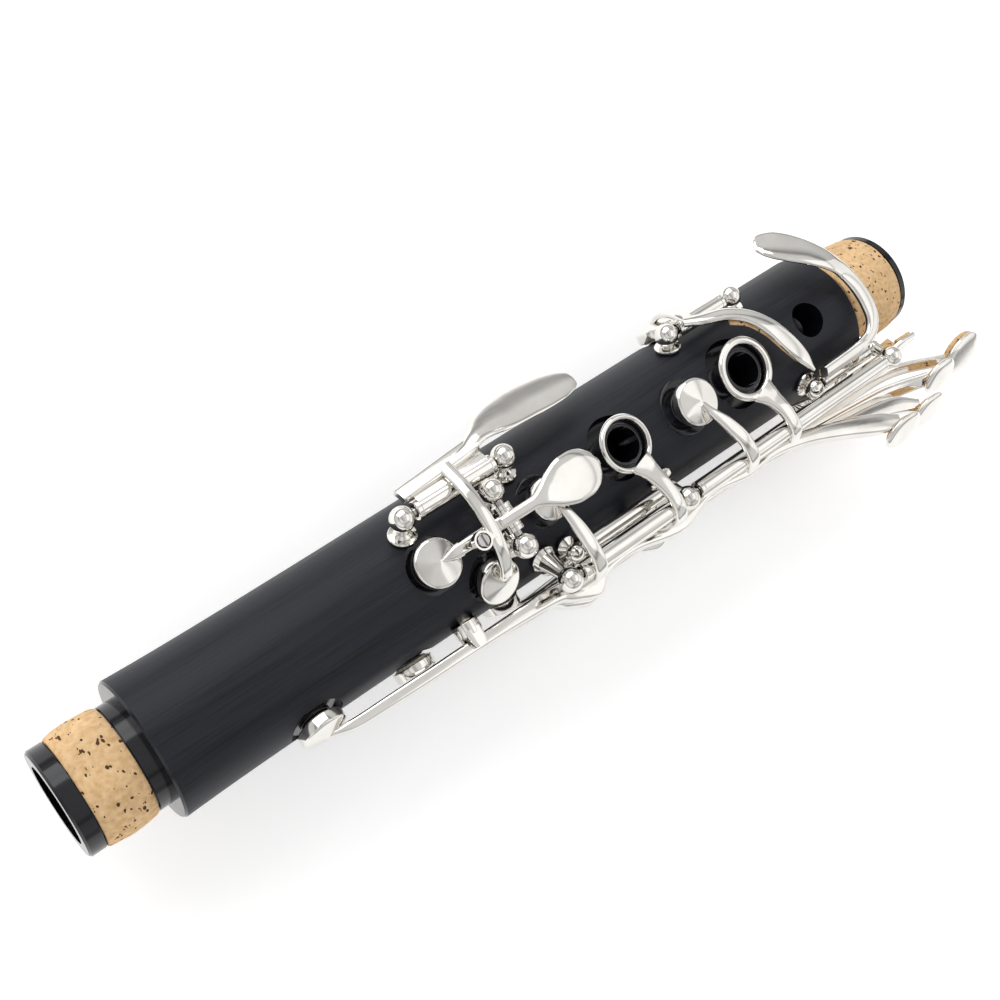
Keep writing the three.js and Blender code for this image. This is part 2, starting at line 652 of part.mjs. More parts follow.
function addThumbRingKey() {
  const { x } = THUMB_HOLE;
  const face = 17.9;
  const profile = [
    [6.0, face],
    [7.6, face],
    [7.6, face + 1.4],
    [6.0, face + 1.4],
    [6.0, face],
  ];
  const ring = turned(profile, new THREE.Vector3(x, -0.8, 0), at(0, 180, 1), 22);
  const strap = arm([
    section(127.4, -47, 19.8, 3.2, 1.4),
    section(127.4, -57, 18.2, 3.2, 1.4),
    section(127.6, -68, 16.9, 3.4, 1.1),
    section(127.6, -90, 16.5, 3.4, 1.0),
    section(127.4, -112, 16.6, 3.6, 1.0),
    section(126.4, -130, 17.4, 3.8, 1.2),
    section(125.0, -147, 18.9, 4.0, 1.3, -160),
    section(123.4, -158, 19.6, 4.2, 1.3, 180),
    section(121.8, -164, 19.1, 4.2, 1.2, 180),
  ]);
  const line = lineTube(INNER_LINE, 111.0, 134.2, SMALL_TUBE_RADIUS, SMALL_TUBE_BORE);
  const key = cut(join(line, ring, strap), boreOf(INNER_LINE, SMALL_TUBE_BORE));
  addMesh("thumb_ring_key", key, "silver", pivotOf(INNER_LINE, 123));
}

function addCsharpKey() {
  const pad = PADS.csharp;
  const strap = arm([
    section(184.5, -33.5, 20.9, 3.0, 2.2),
    section(192.0, -33.4, 20.8, 3.0, 2.2),
    section(198.4, -33.0, 20.5, 3.1, 2.2),
    section(202.6, -30.0, 20.0, 3.4, 2.1),
    section(204.8, -22, 19.3, 3.8, 2.0),
    section(205.4, -10, 18.7, 4.0, 1.9),
    section(205.3, 6, 18.4, 4.0, 1.9),
    section(203.8, 18, 19.6, 4.4, 1.8, 12),
    section(201.2, 25.5, 21.6, 5.2, 1.7, 16),
    section(198.2, 34, 23.0, 6.8, 1.6, 18),
    section(195.0, 42.5, 24.2, 8.2, 1.5, 20),
    section(191.8, 49.5, 25.5, 8.0, 1.4, 22),
    section(189.2, 54, 26.6, 5.2, 1.3, 24),
    section(188.0, 56, 27.2, 2.0, 1.1, 24),
  ]);
  const web = arm([section(196, -34, 20.2, 3.6, 1.5), section(196, -46, 20.0, 3.6, 1.5)]);
  const padArm = arm([
    section(192.0, -48, 20.0, 3.2, 1.5),
    section(192.0, -58, 19.8, 3.2, 1.4),
    section(192.0, -72, 19.0, 3.0, 1.3),
    section(192.0, -88, 18.5, 2.6, 1.3),
    section(192.0, -98, 18.6, 2.2, 1.2),
    section(192.0, pad.angle, cupTop(pad) - 0.5, 1.6, 1.2),
  ]);
  const line = lineTube(INNER_LINE, 186.7, 203.2, SMALL_TUBE_RADIUS, SMALL_TUBE_BORE);
  const key = cut(
    join(line, strap, web, padArm, cup(pad)),
    boreOf(INNER_LINE, SMALL_TUBE_BORE),
  );
  addMesh("csharp_key", key, "silver", pivotOf(INNER_LINE, 195));
  addMesh("csharp_pad", padSolid(pad), "pad");
}

function addSliverKey() {
  const pad = PADS.sliver;
  const blade = arm([
    section(160.2, 45, 21.2, 3.0, 1.8),
    section(163.4, 38, 21.6, 3.2, 1.8),
    section(168.4, 32, 21.8, 3.4, 1.8),
    section(172.2, 23, 21.8, 3.6, 1.7),
    section(174.9, 11, 21.6, 4.2, 1.6),
    section(177.2, -3, 21.2, 4.4, 1.5),
    section(179.4, -16, 21.0, 3.4, 1.4),
    section(181.6, -27.5, 20.8, 1.0, 0.9),
  ]);
  const padArm = arm([
    section(162.0, 46, 20.8, 3.2, 1.6),
    section(162.0, 58, 20.9, 3.0, 1.6),
    section(162.0, 70, 20.4, 2.6, 1.5),
    section(162.0, pad.angle, cupTop(pad) - 0.5, 1.6, 1.2),
  ]);
  const line = lineTube(SLIVER_LINE, 159.6, 174.0);
  const made = cut(join(line, blade, padArm, cup(pad)), boreOf(SLIVER_LINE));
  addMesh("sliver_key", made, "silver", pivotOf(SLIVER_LINE, 167));
  addMesh("sliver_pad", padSolid(pad), "pad");
}

// ---------------------------------------------------------------- see-saw keys
const crossTube = ([x, height], angle, half) =>
  tube(
    at(x, angle, height).add(new THREE.Vector3(0, -half, 0)),
    at(x, angle, height).add(new THREE.Vector3(0, half, 0)),
    1.9,
    TUBE_BORE,
  );

function addAKey() {
  const pad = PADS.a;
  const touch = arm([
    section(93.6, 0, 21.3, 3.0, 1.9),
    section(97.5, 0, 22.1, 3.0, 1.9),
    section(101.0, 0, 22.9, 3.0, 1.8),
    section(103.2, 0, 23.4, 4.6, 1.7),
    section(106.0, 0, 23.7, 7.8, 1.6),
    section(109.4, 0, 23.8, 10.2, 1.6),
    section(112.8, 0, 23.8, 10.4, 1.6),
    section(115.6, 0, 23.5, 8.6, 1.5),
    section(118.4, 0, 23.0, 3.0, 1.2),
  ]);
  const padArm = arm([
    section(97, 0, 20.4, 3.0, 2.2),
    section(92.5, 0, 19.5, 2.8, 1.6),
    section(87.5, 0, 19.1, 2.8, 1.6),
    section(82.6, 0, 19.0, 2.2, 1.5),
    section(pad.x, 0, cupTop(pad) - 0.6, 1.4, 1.2),
  ]);
  const key = join(crossTube(A_HINGE, 0, 3.0), touch, padArm, cup(pad));
  addMesh("a_key", cut(key, crossTool(A_HINGE, 0, 12, TUBE_BORE)), "silver", at(A_HINGE[0], 0, A_HINGE[1]));
  addMesh("a_pad", padSolid(pad), "pad");
}

// A flat spring screwed under a see-saw key, its free end resting over the body.
function flatSpring(fixed, free, angle, height, rest) {
  return arm([
    section(fixed, angle, height, 1.8, 0.4),
    section((fixed + free) / 2, angle, (height + rest) / 2 + 0.15, 1.8, 0.4),
    section(free, angle, rest, 1.6, 0.4),
  ]);
}

function addRegisterKey() {
  const pad = PADS.register;
  const lever = arm([
    section(pad.x, 180, cupTop(pad) - 0.5, 1.6, 1.2),
    section(55.5, 180, 19.8, 2.6, 1.5),
    section(62, 180, 20.9, 3.0, 1.7),
    section(76, 180, 21.4, 3.4, 1.8),
    section(88, 180, 21.2, 3.4, 1.7),
    section(96, 180, 21.6, 5.0, 1.6),
    section(102, 180, 22.2, 8.0, 1.5),
    section(106.4, 180, 22.0, 7.6, 1.5),
    section(109, 180, 21.4, 3.0, 1.3),
  ]);
  const key = join(crossTube(REGISTER_HINGE, 180, 3.4), lever, cup(pad));
  const made = cut(key, crossTool(REGISTER_HINGE, 180, 12, TUBE_BORE));
  addMesh("register_key", made, "silver", at(REGISTER_HINGE[0], 180, REGISTER_HINGE[1]));
  addMesh("register_pad", padSolid(pad), "pad");
  addMesh("register_spring", flatSpring(79, 91, 180, 18.2, 16.5), "steel");
}

// Each side key: its pair, offset from the pair's middle, pad, and the sections of its two arms
// as [x, height, offset, width, thickness], then the oval touch.
const SIDE_KEYS = [
  {
    pair: UPPER_PAIR,
    offset: PAIR_OFFSET,
    pad: PADS.side1,
    upper: [
      [51.5, 18.6, 2.4, 3.2, 2.2],
      [60, 19.0, 2.8, 3.2, 2.5],
      [70, 19.3, 2.7, 3.2, 2.7],
      [81, 19.5, 2.5, 3.2, 2.9],
      [94, 19.9, 2.5, 3.2, 3.4],
      [103, 20.4, 2.4, 3.2, 4.4],
    ],
    lower: [
      [117, 21.2, 2.4, 3.2, 3.6],
      [124, 21.4, 2.4, 3.2, 2.8],
      [136.5, 23.0, 2.4, 3.2, 4.2],
      [148, 21.0, 2.4, 3.2, 2.8],
      [159, 22.0, 2.4, 3.2, 3.6],
      [168, 21.9, 2.4, 3.2, 3.0],
      [178, 23.8, 2.4, 3.2, 3.4],
      [188, 27.2, 2.4, 3.2, 4.4],
      [198, 31.2, 2.0, 3.2, 5.2],
      [203, 33.2, 1.6, 3.0, 3.4],
    ],
    touch: { x: 203.3, y: -34.4, z: 9.2, facing: -47, long: 6.4, short: 4.3, lean: 3 },
  },
  {
    pair: UPPER_PAIR,
    offset: -PAIR_OFFSET,
    pad: PADS.side2,
    upper: [
      [75, 18.8, -3.6, 3.2, 2.2],
      [84, 19.4, -3.0, 3.2, 2.4],
      [96, 20.4, -2.2, 3.2, 2.6],
      [103.5, 20.4, -2.4, 3.2, 4.0],
    ],
    lower: [
      [117, 21.2, -2.4, 3.2, 3.6],
      [126, 21.4, -2.4, 3.2, 2.8],
      [150, 21.4, -2.4, 3.2, 2.8],
      [170, 22.0, -2.4, 3.2, 3.0],
      [181, 23.6, -2.4, 3.2, 3.2],
      [192, 26.4, -2.6, 3.2, 3.6],
      [203, 28.0, -2.9, 3.2, 4.2],
      [210, 29.8, -3.0, 3.2, 4.6],
      [215, 32.8, -2.6, 3.0, 3.2],
    ],
    touch: { x: 216.3, y: -34.6, z: 6.2, facing: -47, long: 6.0, short: 4.2, lean: 4 },
  },
  {
    pair: LOWER_PAIR,
    offset: PAIR_OFFSET,
    pad: PADS.side3,
    upper: [
      [101, 18.8, 1.6, 3.2, 2.2],
      [118, 19.0, 1.6, 3.2, 2.8],
      [129.5, 20.2, 2.4, 3.2, 4.0],
    ],
    lower: [
      [143, 21.2, 2.4, 3.2, 3.4],
      [154, 21.2, 2.4, 3.2, 2.8],
      [172, 22.2, 2.4, 3.2, 2.8],
      [188, 24.4, 2.4, 3.2, 3.0],
      [204, 25.6, 3.6, 3.2, 3.4],
      [216, 26.2, 6.4, 3.2, 3.8],
      [226, 27.4, 10.4, 3.0, 3.2],
    ],
    touch: { x: 228.4, y: -30.0, z: 2.8, facing: -44, long: 6.0, short: 4.3, lean: 8 },
  },
  {
    pair: LOWER_PAIR,
    offset: -PAIR_OFFSET,
    pad: PADS.side4,
    upper: [
      [124, 18.8, -2.6, 3.2, 2.2],
      [130, 20.0, -2.4, 3.2, 3.4],
    ],
    lower: [
      [143, 21.2, -2.4, 3.2, 3.4],
      [154, 21.2, -2.4, 3.2, 2.8],
      [172, 22.2, -2.4, 3.2, 2.8],
      [192, 24.6, -2.6, 3.2, 3.0],
      [210, 24.2, -1.8, 3.2, 3.2],
      [224, 24.2, 0.6, 3.2, 3.4],
      [237, 27.2, 7.4, 3.0, 3.2],
    ],
    touch: { x: 241.6, y: -29.2, z: 0.2, facing: -40, long: 7.0, short: 5.0, lean: 14 },
  },
];

function addSideKey(key, index) {
  const { pair, offset, pad, touch } = key;
  const place = ([x, height, shift, width, thick]) =>
    sideSection(pair, x, height, shift, width, thick);
  const pivot = pairPoint(pair, pair.x, pair.height, offset);
  const eye = [
    sideSection(pair, pair.x - 4.5, pair.height + 2.4, offset, 3.2, 6.0),
    sideSection(pair, pair.x, pair.height + 2.7, offset, 3.2, 9.0),
    sideSection(pair, pair.x + 3, pair.height + 2.4, offset, 3.2, 6.0),
  ];
  const cupEnd = section(pad.x, pad.angle, cupTop(pad) - 0.6, 1.4, 1.2);
  const lever = arm([cupEnd, ...key.upper.map(place), ...eye, ...key.lower.map(place)]);
  const centre = new THREE.Vector3(touch.x, touch.y, touch.z);
  const paddle = button(centre, touch.facing, touch.long, touch.short, 3.0, touch.lean);
  const across = at(0, pair.angle + 90, 9);
  const drill = roundBar(pivot.clone().sub(across), pivot.clone().add(across), TUBE_BORE - 0.1, 12);
  const made = cut(join(lever, paddle, cup(pad)), drill);
  addMesh("side_key_" + (index + 1), made, "silver", pivot);
  addMesh("side_pad_" + (index + 1), padSolid(pad), "pad");
}

// A saddle with two ears that carries a pair of side keys on one cross rod.
function addSaddle(name, pair) {
  const inner = 2 * PAIR_OFFSET - 0.5;
  const ear = (offset) => {
    const foot = pairPoint(pair, pair.x, 15.6, offset);
    const head = pairPoint(pair, pair.x, pair.height, offset);
    const outward = at(0, pair.angle + 90, 0.6);
    const eye = roundBar(head.clone().sub(outward), head.clone().add(outward), 1.9, 14);
    const web = arm([
      { point: foot, out: at(0, pair.angle + 90, 1), width: 4.6, thick: 1.2 },
      { point: head, out: at(0, pair.angle + 90, 1), width: 3.2, thick: 1.2 },
    ]);
    return join(eye, web);
  };
  const base = cut(
    arm([
      section(pair.x - 4.2, pair.angle, 15.6, 2 * inner + 2.4, 2.2),
      section(pair.x + 4.2, pair.angle, 15.6, 2 * inner + 2.4, 2.2),
    ]),
    roundBar(
      new THREE.Vector3(pair.x - 9, 0, 0),
      new THREE.Vector3(pair.x + 9, 0, 0),
      bodyRadius(pair.x) + GAP + 0.08,
      32,
    ),
  );
  const across = at(0, pair.angle + 90, 8);
  const middle = pairPoint(pair, pair.x, pair.height, 0);
  const drill = roundBar(middle.clone().sub(across), middle.clone().add(across), 1.1, 12);
  addMesh(name + "_saddle", cut(join(base, ear(inner + 0.6), ear(-inner - 0.6)), drill), "silver");
  const half = at(0, pair.angle + 90, inner + 1.5);
  const rod = roundBar(middle.clone().sub(half), middle.clone().add(half), 0.8, 10);
  addMesh(name + "_rod", rod, "steel");
}

// ---------------------------------------------------------------- assembly
addBody();
addPosts();
addRods();
addGsharpKey();
addAKey();
addFirstRingKey();
addSecondRingKey();
addThumbRingKey();
addCsharpKey();
addSliverKey();
addRegisterKey();
SIDE_KEYS.forEach(addSideKey);
addSaddle("upper_side", UPPER_PAIR);
addSaddle("lower_side", LOWER_PAIR);

export default clarinet;
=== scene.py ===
# Looks of the upper joint of a B flat clarinet: smooth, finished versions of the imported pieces.
# Lengths below are in millimetres and become metres when a mesh is made. +X runs down the bore,
# +Z is the front, +Y is the player's left, and angles are degrees round the bore from +Z to +Y.
import math

import bmesh
import bpy
from mathutils import Matrix, Vector


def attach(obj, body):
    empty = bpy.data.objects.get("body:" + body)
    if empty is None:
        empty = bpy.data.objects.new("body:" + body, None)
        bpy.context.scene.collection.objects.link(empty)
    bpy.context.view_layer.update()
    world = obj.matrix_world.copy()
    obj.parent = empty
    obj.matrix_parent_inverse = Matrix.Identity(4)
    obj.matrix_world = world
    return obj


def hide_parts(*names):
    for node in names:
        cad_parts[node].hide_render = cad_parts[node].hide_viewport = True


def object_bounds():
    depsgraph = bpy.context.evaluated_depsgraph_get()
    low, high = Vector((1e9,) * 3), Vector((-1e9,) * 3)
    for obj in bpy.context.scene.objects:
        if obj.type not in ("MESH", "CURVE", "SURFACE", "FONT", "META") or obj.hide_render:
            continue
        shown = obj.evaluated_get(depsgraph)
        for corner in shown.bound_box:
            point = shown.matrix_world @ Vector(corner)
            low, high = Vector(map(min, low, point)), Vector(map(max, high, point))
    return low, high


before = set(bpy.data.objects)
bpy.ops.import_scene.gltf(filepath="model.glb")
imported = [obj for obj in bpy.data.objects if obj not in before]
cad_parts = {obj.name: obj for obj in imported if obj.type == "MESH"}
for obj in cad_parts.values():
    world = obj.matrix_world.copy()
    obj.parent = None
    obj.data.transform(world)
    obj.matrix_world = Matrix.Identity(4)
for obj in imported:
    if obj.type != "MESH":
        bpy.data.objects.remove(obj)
cad_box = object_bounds()

# ---- dimensions, as in the CAD part
LENGTH = 226.7
BORE_RADIUS = 7.5
MOUTH_RADIUS = 8.1
UPPER_SHOULDER = 17.1
LOWER_SHOULDER = 204.5
UPPER_TENON_RADIUS = 11.1
LOWER_TENON_RADIUS = 12.15
UPPER_SEAT = UPPER_TENON_RADIUS - 0.9
LOWER_SEAT = LOWER_TENON_RADIUS - 0.9
UPPER_CORK = (3.6, 14.0)
LOWER_CORK = (207.4, 224.2)
GAP = 0.3
BALL_RADIUS = 2.65
SMALL_BALL_RADIUS = 1.9
ROD_RADIUS = 0.9
SMALL_ROD_RADIUS = 0.65
TUBE_RADIUS = 2.05
SMALL_TUBE_RADIUS = 1.55
SEAT_DEPTH = 1.1
SEAT_RIM = 0.7
PAD_THICKNESS = 2.0
CUP_WALL = 0.5
CUP_RIM_HEIGHT = 2.3
CUP_CONE_HEIGHT = 1.4
GSHARP_LINE = (32.4, 20.14)
RING_LINE = (-47.4, 23.64)
INNER_LINE = (-48.3, 18.49)
SLIVER_LINE = (50.4, 18.82)
A_HINGE = (96.3, 19.3)
REGISTER_HINGE = (76, 19.4)
UPPER_PAIR = {"x": 110.5, "angle": -77, "height": 18.8}
LOWER_PAIR = {"x": 136.5, "angle": -107, "height": 18.8}
PAIR_OFFSET = 2.4
RING_LIFT = 4.8
SCREW_RADIUS = 1.15

PADS = {
    "register": {"x": 52, "angle": 180, "cup": 4.3, "hole": 1.6},
    "a": {"x": 79.6, "angle": 0, "cup": 5.0, "hole": 3.0},
    "gsharp": {"x": 90, "angle": -36, "cup": 4.9, "hole": 2.9},
    "vent": {"x": 106.8, "angle": -3.5, "cup": 4.5, "hole": 2.6, "boss": 0.1},
    "middle": {"x": 149, "angle": -3, "cup": 5.2, "hole": 3.2, "boss": 0.5},
    "sliver": {"x": 162, "angle": 84, "cup": 4.7, "hole": 2.8},
    "csharp": {"x": 192, "angle": -104, "cup": 4.6, "hole": 2.9},
    "side1": {"x": 46.3, "angle": -68, "cup": 5.0, "hole": 2.6},
    "side2": {"x": 70, "angle": -89, "cup": 4.5, "hole": 2.6},
    "side3": {"x": 96, "angle": -109.5, "cup": 4.4, "hole": 2.8},
    "side4": {"x": 119, "angle": -125, "cup": 4.4, "hole": 2.6},
}
FIRST_HOLE = {"x": 129.2, "angle": -1, "hole": 3.9, "top": 4.7, "seat": 7.2, "height": 2.0}
SECOND_HOLE = {"x": 165.8, "angle": -3, "hole": 4.1, "top": 5.1, "seat": 8.1, "height": 1.8}
THIRD_HOLE = {"x": 190.5, "angle": 2, "hole": 4.2}
THUMB_HOLE = {"x": 118, "angle": 180, "hole": 3.7, "tube": 4.7, "top": 17.4}

X_AXIS = Vector((1, 0, 0))
MERGE_DISTANCE = 1e-7


def at(x, angle, radius):
    """The point at a place along the bore, an angle round it and a distance from its axis."""
    turn = math.radians(angle)
    return Vector((x, radius * math.sin(turn), radius * math.cos(turn)))


def body_radius(x):
    """Radius of the body's outside."""
    return 14.42 + (x - 60) / 140 + 0.65 * math.exp(-(x - UPPER_SHOULDER) / 14)


# ---- node materials
def new_material(name):
    """An empty node material with its shader, and a helper that adds and links nodes."""
    material = bpy.data.materials.new(name)
    material.use_nodes = True
    tree = material.node_tree
    shader = tree.nodes["Principled BSDF"]

    def add(kind, inputs=None, **settings):
        node = tree.nodes.new(kind)
        for key, value in settings.items():
            setattr(node, key, value)
        for key, value in (inputs or {}).items():
            if isinstance(value, bpy.types.NodeSocket):
                tree.links.new(value, node.inputs[key])
            else:
                node.inputs[key].default_value = value
        return node

    def link(output, socket):
        tree.links.new(output, shader.inputs[socket])

    return material, shader, add, link


def object_coordinates(add, scale=(1, 1, 1)):
    """Object coordinates, in metres, multiplied by `scale`."""
    place = add("ShaderNodeTexCoord")
    mapped = add("ShaderNodeMapping", {"Vector": place.outputs["Object"], "Scale": scale})
    return mapped.outputs[0]


def noise(add, vector, scale, detail):
    node = add("ShaderNodeTexNoise", {"Vector": vector, "Scale": scale, "Detail": detail})
    return node.outputs["Fac"]


def calculate(add, operation, first, second):
    return add("ShaderNodeMath", {0: first, 1: second}, operation=operation).outputs[0]


def spread(add, value, start, end, low, high):
    """`value` carried from the range `start` to `end` into the range `low` to `high`."""
    node = add("ShaderNodeMapRange", {"Value": value, 1: start, 2: end, 3: low, 4: high})
    return node.outputs[0]


def relief(add, link, height, strength, distance):
    """Fine unevenness of the surface; `distance` is in metres."""
    node = add("ShaderNodeBump", {"Height": height, "Strength": strength, "Distance": distance})
    link(node.outputs["Normal"], "Normal")


def set_stops(color_ramp, stops):
    elements = color_ramp.elements
    elements[0].position, elements[0].color = stops[0]
    elements[1].position, elements[1].color = stops[-1]
    for position, colour in stops[1:-1]:
        element = elements.new(position)
        element.color = colour


def ramp(add, value, stops):
    """A colour ramp over `value` with (position, colour) stops."""
    node = add("ShaderNodeValToRGB", {"Fac": value})
    set_stops(node.color_ramp, stops)
    return node.outputs["Color"]


def grey(value, warm=0.0):
    return (value * (1 + warm), value, value * (1 - warm), 1)


def wood_material(name, gloss):
    """Near-black wood: fine grain along the bore, satin outside or polished where turned."""
    material, shader, add, link = new_material(name)
    grain = noise(add, object_coordinates(add, (45, 1500, 1500)), 1.6, 6.0)
    streaks = noise(add, object_coordinates(add, (14, 260, 260)), 1.4, 4.0)
    half = calculate(add, "MULTIPLY", calculate(add, "ADD", grain, streaks), 0.5)
    dark = (0.003, 0.0033, 0.0050, 1) if gloss else (0.0045, 0.0050, 0.0078, 1)
    pale = (0.007, 0.0076, 0.0110, 1) if gloss else (0.0160, 0.0172, 0.0250, 1)
    link(ramp(add, half, [(0.36, dark), (0.64, pale)]), "Base Color")
    low, high = (0.10, 0.18) if gloss else (0.40, 0.54)
    link(spread(add, half, 0.35, 0.65, low, high), "Roughness")
    relief(add, link, grain, 0.06 if gloss else 0.24, 0.0001)
    shader.inputs["Specular IOR Level"].default_value = 0.45 if gloss else 0.26
    return material


def cork_material():
    """Natural cork: mottled tan, small dark pores and short dark flecks."""
    material, shader, add, link = new_material("cork_sheet")
    place = object_coordinates(add)
    mottle = noise(add, place, 900.0, 5.0)
    pale, tan, brown = (0.85, 0.60, 0.345, 1), (0.76, 0.505, 0.265, 1), (0.62, 0.385, 0.18, 1)
    mottled = ramp(add, mottle, [(0.28, brown), (0.50, tan), (0.74, pale)])
    shade = ramp(add, noise(add, place, 110.0, 3.0), [(0.35, grey(0.88)), (0.62, grey(1.0))])
    tinted = add(
        "ShaderNodeMix",
        {0: 1.0, 6: mottled, 7: shade},
        data_type="RGBA",
        blend_type="MULTIPLY",
    )
    stretched = object_coordinates(add, (1.0, 0.55, 0.55))
    pores = add("ShaderNodeTexVoronoi", {"Vector": stretched, "Scale": 1450.0, "Randomness": 1.0})
    reach = spread(add, noise(add, place, 640.0, 2.0), 0.49, 0.68, 0.0, 0.50)
    inside = calculate(add, "LESS_THAN", pores.outputs["Distance"], reach)
    pore_colour = (0.085, 0.040, 0.018, 1)
    colour = add(
        "ShaderNodeMix",
        {0: inside, 6: tinted.outputs[2], 7: pore_colour},
        data_type="RGBA",
    )
    link(colour.outputs[2], "Base Color")
    relief(add, link, calculate(add, "SUBTRACT", mottle, inside), 0.55, 0.0002)
    shader.inputs["Roughness"].default_value = 0.82
    shader.inputs["Specular IOR Level"].default_value = 0.25
    return material


def silver_material():
    """Bright silver plate: mirror polish with faint buffing lines and slight warm tarnish."""
    material, shader, add, link = new_material("silver_plate")
    haze = noise(add, object_coordinates(add), 190.0, 4.0)
    tarnish, bright = (0.755, 0.73, 0.69, 1), (0.835, 0.815, 0.775, 1)
    link(ramp(add, haze, [(0.30, tarnish), (0.70, bright)]), "Base Color")
    buffing = noise(add, object_coordinates(add, (120, 2600, 2600)), 1.0, 3.0)
    link(spread(add, buffing, 0.35, 0.70, 0.07, 0.13), "Roughness")
    relief(add, link, haze, 0.05, 0.0002)
    shader.inputs["Metallic"].default_value = 1.0
    return material


def steel_material():
    """Turned steel of the rods, screws and spring: fine rings round the rod."""
    material, shader, add, link = new_material("turned_steel")
    rings = noise(add, object_coordinates(add, (4200, 300, 300)), 1.0, 2.0)
    link(ramp(add, rings, [(0.3, grey(0.34, 0.02)), (0.7, grey(0.62, 0.02))]), "Base Color")
    link(spread(add, rings, 0.3, 0.7, 0.18, 0.32), "Roughness")
    relief(add, link, rings, 0.1, 0.0001)
    shader.inputs["Metallic"].default_value = 1.0
    return material


def pad_material():
    """Pale skin stretched over felt, faintly wrinkled and slightly darker towards its folds, where
    the darkening is painted shade.
    """
    material, shader, add, link = new_material("pad_skin")
    folds = noise(add, object_coordinates(add), 800.0, 5.0)
    # The darker colour where the wrinkle relief is low is painted shade in its creases.
    fold_shade_colour, skin_colour = (0.62, 0.52, 0.38, 1), (0.86, 0.80, 0.68, 1)
    link(ramp(add, folds, [(0.32, fold_shade_colour), (0.6, skin_colour)]), "Base Color")
    relief(add, link, folds, 0.3, 0.0001)
    shader.inputs["Roughness"].default_value = 0.55
    shader.inputs["Sheen Weight"].default_value = 0.2
    return material


SATIN_WOOD = wood_material("grained_blackwood", gloss=False)
GLOSS_WOOD = wood_material("polished_blackwood", gloss=True)
CORK = cork_material()
SILVER = silver_material()
STEEL = steel_material()
PAD = pad_material()


# ---- mesh building
class Shell:
    """Vertices and faces of one piece, gathered from several smooth shells."""

    def __init__(self):
        self.vertices = []
        self.faces = []
        self.finishes = []

    def add(self, vertices, faces, finish=0):
        start = len(self.vertices)
        self.vertices += [Vector(v) for v in vertices]
        self.faces += [tuple(start + i for i in face) for face in faces]
        self.finishes += [finish] * len(faces)
        return self

    def sweep(self, rows, *shape, finish=0):
        """Adds an arm through rows of [x, angle, radius, width, thickness, facing]."""
        return self.add(*arm([section(*row) for row in rows], *shape), finish)

    def lifted(self, x):
        """Turns what is here about the ring line, as its spring holds it."""
        pivot = at(x, *RING_LINE)
        turn = Matrix.Rotation(math.radians(RING_LIFT), 4, X_AXIS)
        matrix = Matrix.Translation(pivot) @ turn @ Matrix.Translation(-pivot)
        self.vertices = [matrix @ v for v in self.vertices]
        return self


def lathe(profile, base, axis, segments=48):
    """A shell turned from [radius, height] points about `axis` through `base`."""
    axis = Vector(axis).normalized()
    side = axis.orthogonal().normalized()
    other = axis.cross(side)
    vertices = []
    rings = []
    for radius, height in profile:
        centre = Vector(base) + axis * height
        if radius < 1e-6:
            rings.append([len(vertices)])
            vertices.append(centre)
            continue
        rings.append(list(range(len(vertices), len(vertices) + segments)))
        for i in range(segments):
            turn = 2 * math.pi * i / segments
            vertices.append(centre + (side * math.cos(turn) + other * math.sin(turn)) * radius)
    faces = []
    for low, high in zip(rings, rings[1:]):
        for i in range(segments):
            j = (i + 1) % segments
            if len(low) == 1 and len(high) == 1:
                continue
            if len(low) == 1:
                faces.append((low[0], high[j], high[i]))
            elif len(high) == 1:
                faces.append((low[i], low[j], high[0]))
            else:
                faces.append((low[i], low[j], high[j], high[i]))
    return vertices, faces


def turned(profile, x, angle, segments, soft=0, base=0):
    """A shell turned about the line out from the bore's axis at `x` and `angle`."""
    if soft:
        profile = rounded(profile, soft)
    return lathe(profile, at(x, angle, base), at(0, angle, 1), segments)


def rounded(profile, radius=0.25, steps=3):
    """A profile with each inner corner rounded by about `radius`."""
    points = [Vector(p) for p in profile]
    result = [tuple(points[0])]
    for before, corner, after in zip(points, points[1:], points[2:]):
        back = before - corner
        forward = after - corner
        reach = min(radius, back.length * 0.45, forward.length * 0.45)
        if reach < 0.02 or abs(back.normalized().dot(forward.normalized()) + 1) < 0.01:
            result.append(tuple(corner))
            continue
        start = corner + back.normalized() * reach
        end = corner + forward.normalized() * reach
        for step in range(steps + 1):
            t = step / steps
            point = start * (1 - t) ** 2 + corner * 2 * t * (1 - t) + end * t**2
            result.append(tuple(point))
    result.append(tuple(points[-1]))
    return result


def catmull(points, along):
    """A point on a smooth curve through `points`, at `along` counted in spans."""
    span = min(int(along), len(points) - 2)
    t = along - span
    p1, p2 = points[span], points[span + 1]
    p0 = points[span - 1] if span else p1 * 2 - p2
    p3 = points[span + 2] if span + 2 < len(points) else p2 * 2 - p1
    level = [p0, p1, p2, p3]
    knots = [0.0]
    for a, b in zip(level, level[1:]):
        knots.append(knots[-1] + max((b - a).length, 1e-6) ** 0.5)
    k = knots[1] + (knots[2] - knots[1]) * t
    for reach, first in ((1, 0), (2, 0), (1, 1)):
        blended = []
        for i, (a, b) in enumerate(zip(level, level[1:]), first):
            low, high = knots[i], knots[i + reach]
            blended.append(a * ((high - k) / (high - low)) + b * ((k - low) / (high - low)))
        level = blended
    return level[0]


def eased(values, along):
    """A number on a smooth curve through `values`, kept between its two neighbours."""
    span = min(int(along), len(values) - 2)
    t = along - span
    start, end = values[span], values[span + 1]
    before = values[span - 1] if span else start
    after = values[span + 2] if span + 2 < len(values) else end
    leave = (end - before) / 2
    arrive = (after - start) / 2
    cubed, squared = t**3, t**2
    curve = (2 * cubed - 3 * squared + 1) * start + (cubed - 2 * squared + t) * leave
    curve += (3 * squared - 2 * cubed) * end + (cubed - squared) * arrive
    low, high = min(start, end), max(start, end)
    slack = 0.12 * (high - low)
    return min(max(curve, low - slack), high + slack)


